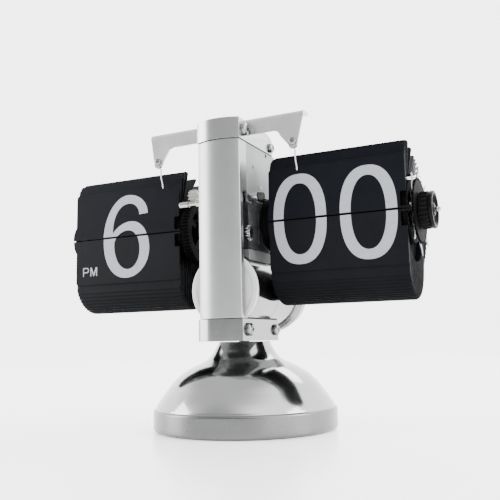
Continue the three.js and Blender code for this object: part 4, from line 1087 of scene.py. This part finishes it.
DRUMS = (
    ("hour", HOUR_X, 7.5, 30, (2.2, 0.8)),
    ("minute", MINUTE_X, 6.0, 37, (0.8, 1.1)),
)
for name, x, step, upper_count, tabs in DRUMS:
    upper_to = FIRST_LEAF + step * (upper_count - 1)
    lower_from = upper_to + step
    lower_count = int((LAST_LEAF - lower_from + 0.01) // step) + 1
    pack_piece(f"{name}_upper_leaf_stack", x, FIRST_LEAF, upper_count, step, LEAF, f"{name}_upper_leaves")
    pack_piece(f"{name}_lower_leaf_stack", x, lower_from, lower_count, step, LEAF_SHADED, f"{name}_lower_leaves")
    flip_outline = leaf_outline(x, LEAF_L + 0.2, 0.2, tabs, TAB_H)
    flip = prism(f"{name}_flip_plate", [flip_outline], flip_place, 0, LEAF_T)
    place(soften(flip, 0.07, 2), LEAF, f"{name}_leaf", "leaves", f"{name}_flip_leaf")
    front_outline = leaf_outline(x, LEAF_L - 0.4, 0.4, tabs, TAB_H)
    front = prism(f"{name}_front_plate", [front_outline], front_place, 0, LEAF_T)
    place(soften(front, 0.07, 2), LEAF_SHADED, "clock_frame", "leaves", f"{name}_front_leaf")

# ---------- printed digits ----------

DIGIT_TOP = 23.0
PRINT_T = 0.05
SINK = 0.05
OVAL_POINTS = 96


def oval(cx, a, b, power=2.35):
    """Upright oval about the hinge line."""
    points = []
    for i in range(OVAL_POINTS):
        c, s = polar(0, 0, 1, TAU * i / OVAL_POINTS)
        u, v = (math.copysign(abs(k) ** (2 / power), k) for k in (c, s))
        points.append((cx + a * u, b * v))
    return points


def zero(cx):
    return [oval(cx, 14.2, DIGIT_TOP), oval(cx, 8.7, DIGIT_TOP - 4.9, 2.2)[::-1]]


def one(cx):
    return [[(cx - 1.5, -23.2), (cx + 4.2, -23.2), (cx + 4.2, 23.2), (cx + 0.2, 23.2), (cx - 1.6, 20.4),
             (cx - 4.6, 18.0), (cx - 8.4, 16.5), (cx - 8.4, 12.2), (cx - 4.6, 13.2), (cx - 1.5, 15.0)]]


def quarter(side, crown, power=2.0, steps=12):
    """Quarter of an oval, from its side point to its highest or lowest point."""
    u, v = crown[0], side[1]
    points = []
    for i in range(steps + 1):
        c, s = polar(0, 0, 1, math.pi / 2 * i / steps)
        points.append((u + (side[0] - u) * abs(c) ** (2 / power), v + (crown[1] - v) * abs(s) ** (2 / power)))
    return points


def six(cx):
    """A bowl below an open stem, as quarter ovals between the points where the strokes turn."""
    crown, foot = (cx + 1.5, 23.8), (cx + 0.1, -23.6)
    back, belly = (cx - 15.7, -2.2), (cx + 15.7, -7.6)
    bowl_top, crotch, stem_top = (cx + 3.4, 8.4), (cx - 9.1, 2.2), (cx + 2.0, 18.8)
    bowl_left = (cx - 12.4, belly[1])
    outer = quarter((cx + 14.8, 12.2), crown) + quarter(back, crown)[::-1] + quarter(back, foot, 2.14)
    outer += quarter(belly, foot)[::-1] + quarter(belly, bowl_top, 2.1)
    outer += [p for p in quarter(bowl_left, bowl_top, steps=24)[::-1] if p[0] > crotch[0]]
    outer += quarter(crotch, stem_top, 2.17) + quarter((cx + 9.1, 11.9), stem_top)[::-1]
    left, right = (cx - 8.3, -4.0), (cx + 9.2, -7.9)
    top, low = (cx + 1.0, 3.4), (cx + 1.3, -18.7)
    inner = quarter(left, low, 2.05) + quarter(right, low)[::-1]
    inner += quarter(right, top, 2.25) + quarter(left, top, 1.8)[::-1]
    return [without_repeats(outer), without_repeats(inner)]


def without_repeats(points):
    """Drops points that fall on the one before, as where two quarters meet."""
    return [p for p, q in zip(points, points[-1:] + points[:-1]) if math.dist(p, q) > 1e-6]


def small_letters():
    """The two small letters beside the hour, as height above the hinge line."""
    base, top = -21.3, -16.2
    p_out = [(-99.2, base), (-98.55, base), (-98.55, base + 2.0), (-96.4, base + 2.0)]
    p_out += arc(-96.4, top - 1.55, 1.55, -90, 90, 10) + [(-99.2, top)]
    p_hole = [(-98.55, base + 2.6), (-96.5, base + 2.6)]
    p_hole += arc(-96.5, top - 1.55, 0.95, -90, 90, 8) + [(-98.55, top - 0.6)]
    m = [(-93.9, base), (-93.15, base), (-93.15, top - 1.5), (-91.75, base), (-91.15, base),
         (-89.75, top - 1.5), (-89.75, base), (-89.0, base), (-89.0, top), (-90.05, top),
         (-91.45, base + 1.4), (-92.85, top), (-93.9, top)]
    return [[without_repeats(p_out), without_repeats(p_hole)[::-1]], [m]]


def half_print(name, glyphs, upper, where, near, far, body):
    """Raised print of the half of some glyphs above or below the hinge line."""
    sign = 1 if upper else -1
    bm = bmesh.new()
    for loops in glyphs:
        flat = [[(u, v * sign) for u, v in loop] for loop in loops]
        add_prism(bm, flat, lambda u, v, w: (u, v, w), near, far)
    edge = 0.55 * MM
    cut_faces = bm.verts[:] + bm.edges[:] + bm.faces[:]
    bmesh.ops.bisect_plane(bm, geom=cut_faces, plane_co=(0, edge, 0), plane_no=(0, 1, 0), clear_inner=True)
    open_edges = [e for e in bm.edges if len(e.link_faces) == 1]
    bmesh.ops.holes_fill(bm, edges=open_edges, sides=0)
    bmesh.ops.triangulate(bm, faces=[f for f in bm.faces if len(f.verts) > 4])
    for v in bm.verts:
        v.co = Vector(where(v.co.x / MM, v.co.y / MM, v.co.z / MM)) * MM
    piece = from_bmesh(name, bm)
    return place(soften(piece, 0), PRINT, body, "leaves")


HOUR_GLYPHS = [six(-68.7)]
HOUR_LOW = [*HOUR_GLYPHS, *small_letters()]
MINUTE_GLYPHS = [zero(37.35), zero(72.7)]
NEXT_MINUTE = [zero(37.35), one(73.6)]
for name, now, now_low, after in (
    ("hour", HOUR_GLYPHS, HOUR_LOW, HOUR_GLYPHS),
    ("minute", MINUTE_GLYPHS, MINUTE_GLYPHS, NEXT_MINUTE),
):
    after_low = now_low if name == "hour" else after
    half_print(f"{name}_digits_upper", now, True, flip_place, -PRINT_T, SINK, f"{name}_leaf")
    half_print(f"{name}_digits_lower", now_low, False, front_place, -PRINT_T, SINK, "clock_frame")
    half_print(f"{name}_digits_flipside", after_low, False,
               lambda u, v, w: flip_place(u, v, LEAF_T - w), -PRINT_T, SINK, f"{name}_leaf")
    behind = leaf_place(FIRST_LEAF)
    shift = SPLIT_Z - (AXIS_Z + PIN_R * math.sin(math.radians(FIRST_LEAF)))
    half_print(f"{name}_digits_behind", after, True,
               lambda u, v, w: behind(u, v + shift, w - PACK_LEAF_T / 2), -PRINT_T, SINK, "clock_frame")

# ---------- CAD pieces that stay ----------

KEPT = {
    "base_pad": FELT, "base_weight": CAST, "base_bolt": ZINC, "base_spacer": ZINC, "battery_cell": CELL,
    "contact_plate": STEEL, "contact_spring": STEEL, "movement_chassis": PLATE, "motor_can": ZINC,
    "idler_gear": PALE, "minute_gear": PALE, "minute_pinion": BRASS, "reduction_gear": PALE,
}
for name, material in KEPT.items():
    obj = nodes[name]
    obj.data.materials.clear()
    obj.data.materials.append(material)
    weld = obj.modifiers.new("weld", "WELD")
    weld.merge_threshold = 1e-6
    edge = obj.modifiers.new("edges", "BEVEL")
    edge.width = 0.12 * MM
    edge.segments = 2
    edge.limit_method = "ANGLE"
    edge.angle_limit = math.radians(40)

# ---------- floor, lights, camera ----------


def plain(name, colour, roughness, specular, glow):
    material = bpy.data.materials.new(name)
    material.use_nodes = True
    shader = material.node_tree.nodes["Principled BSDF"]
    shader.inputs["Base Color"].default_value = (*colour, 1)
    shader.inputs["Roughness"].default_value = roughness
    shader.inputs["Specular IOR Level"].default_value = specular
    shader.inputs["Emission Color"].default_value = (*colour, 1)
    shader.inputs["Emission Strength"].default_value = glow
    return material


floor = prism("floor", [circle(0, 0, 3000, 64)], along_z, -20, -0.02)
floor.data.materials.append(plain("pale_floor", (0.93, 0.93, 0.93), 0.24, 0.4, 1.0))

# a white studio, softly shaded in front of the object and overhead: direction, edges, level
SHADES = (
    ((-0.10, -0.99, 0.08), (0.42, 0.80), 0.22),
    ((-0.25, 0.0, 0.97), (0.62, 0.95), 0.36),
)
SKY_LIGHT = 4.8
world = bpy.context.scene.world or bpy.data.worlds.new("studio")
bpy.context.scene.world = world
world.use_nodes = True
tree = world.node_tree
direction = add_node(tree, "TexCoord", {}).outputs["Generated"]
brightness = SKY_LIGHT
for side_of, edges, low in SHADES:
    aims = {0: direction, 1: Vector(side_of).normalized()}
    facing = add_node(tree, "VectorMath", aims, operation="DOT_PRODUCT").outputs["Value"]
    ends = {"Value": facing, "From Min": edges[0], "From Max": edges[1], "To Min": 1.0, "To Max": low}
    shade = add_node(tree, "MapRange", ends, interpolation_type="SMOOTHERSTEP").outputs["Result"]
    brightness = add_node(tree, "Math", {0: shade, 1: brightness}, operation="MULTIPLY").outputs["Value"]
sky = tree.nodes["Background"]
sky.inputs["Color"].default_value = (1, 1, 1, 1)
tree.links.new(brightness, sky.inputs["Strength"])


def area_light(name, place_at, aim_at, size, power):
    data = bpy.data.lights.new(name, "AREA")
    data.shape = "RECTANGLE"
    data.size, data.size_y = size
    data.energy = power
    lamp = bpy.data.objects.new(name, data)
    bpy.context.scene.collection.objects.link(lamp)
    lamp.location = Vector(place_at)
    lamp.rotation_mode = "QUATERNION"
    lamp.rotation_quaternion = (Vector(aim_at) - lamp.location).to_track_quat("-Z", "Y")
    return lamp


area_light("left_softbox", (-1.15, -0.45, 0.45), (0, 0, 0.09), (0.6, 0.9), 14)
area_light("right_softbox", (1.15, 0.15, 0.6), (0, 0, 0.09), (0.5, 0.8), 10)
area_light("top_softbox", (0.1, 0.9, 1.1), (0, 0, 0.08), (0.9, 0.6), 12)

CAMERA_AT = (0.16175, -0.32712, 0.0447)
AZIMUTH, PITCH, ROLL = (math.radians(a) for a in (25.685, 7.583, -1.21))
level = Vector((math.cos(AZIMUTH), math.sin(AZIMUTH), 0))
ahead = Vector((-math.sin(AZIMUTH), math.cos(AZIMUTH), 0))
forward = ahead * math.cos(PITCH) + Vector((0, 0, math.sin(PITCH)))
upright = level.cross(forward)
right = level * math.cos(ROLL) + upright * math.sin(ROLL)
up = -level * math.sin(ROLL) + upright * math.cos(ROLL)
camera_data = bpy.data.cameras.new("camera")
camera_data.lens = 49.40
camera_data.sensor_width = 36.0
camera = bpy.data.objects.new("camera", camera_data)
bpy.context.scene.collection.objects.link(camera)
camera.matrix_world = Matrix((
    (right.x, up.x, -forward.x, CAMERA_AT[0]),
    (right.y, up.y, -forward.y, CAMERA_AT[1]),
    (right.z, up.z, -forward.z, CAMERA_AT[2]),
    (0, 0, 0, 1),
))
camera_data.clip_start = 0.01
camera_data.clip_end = 20
bpy.context.scene.camera = camera
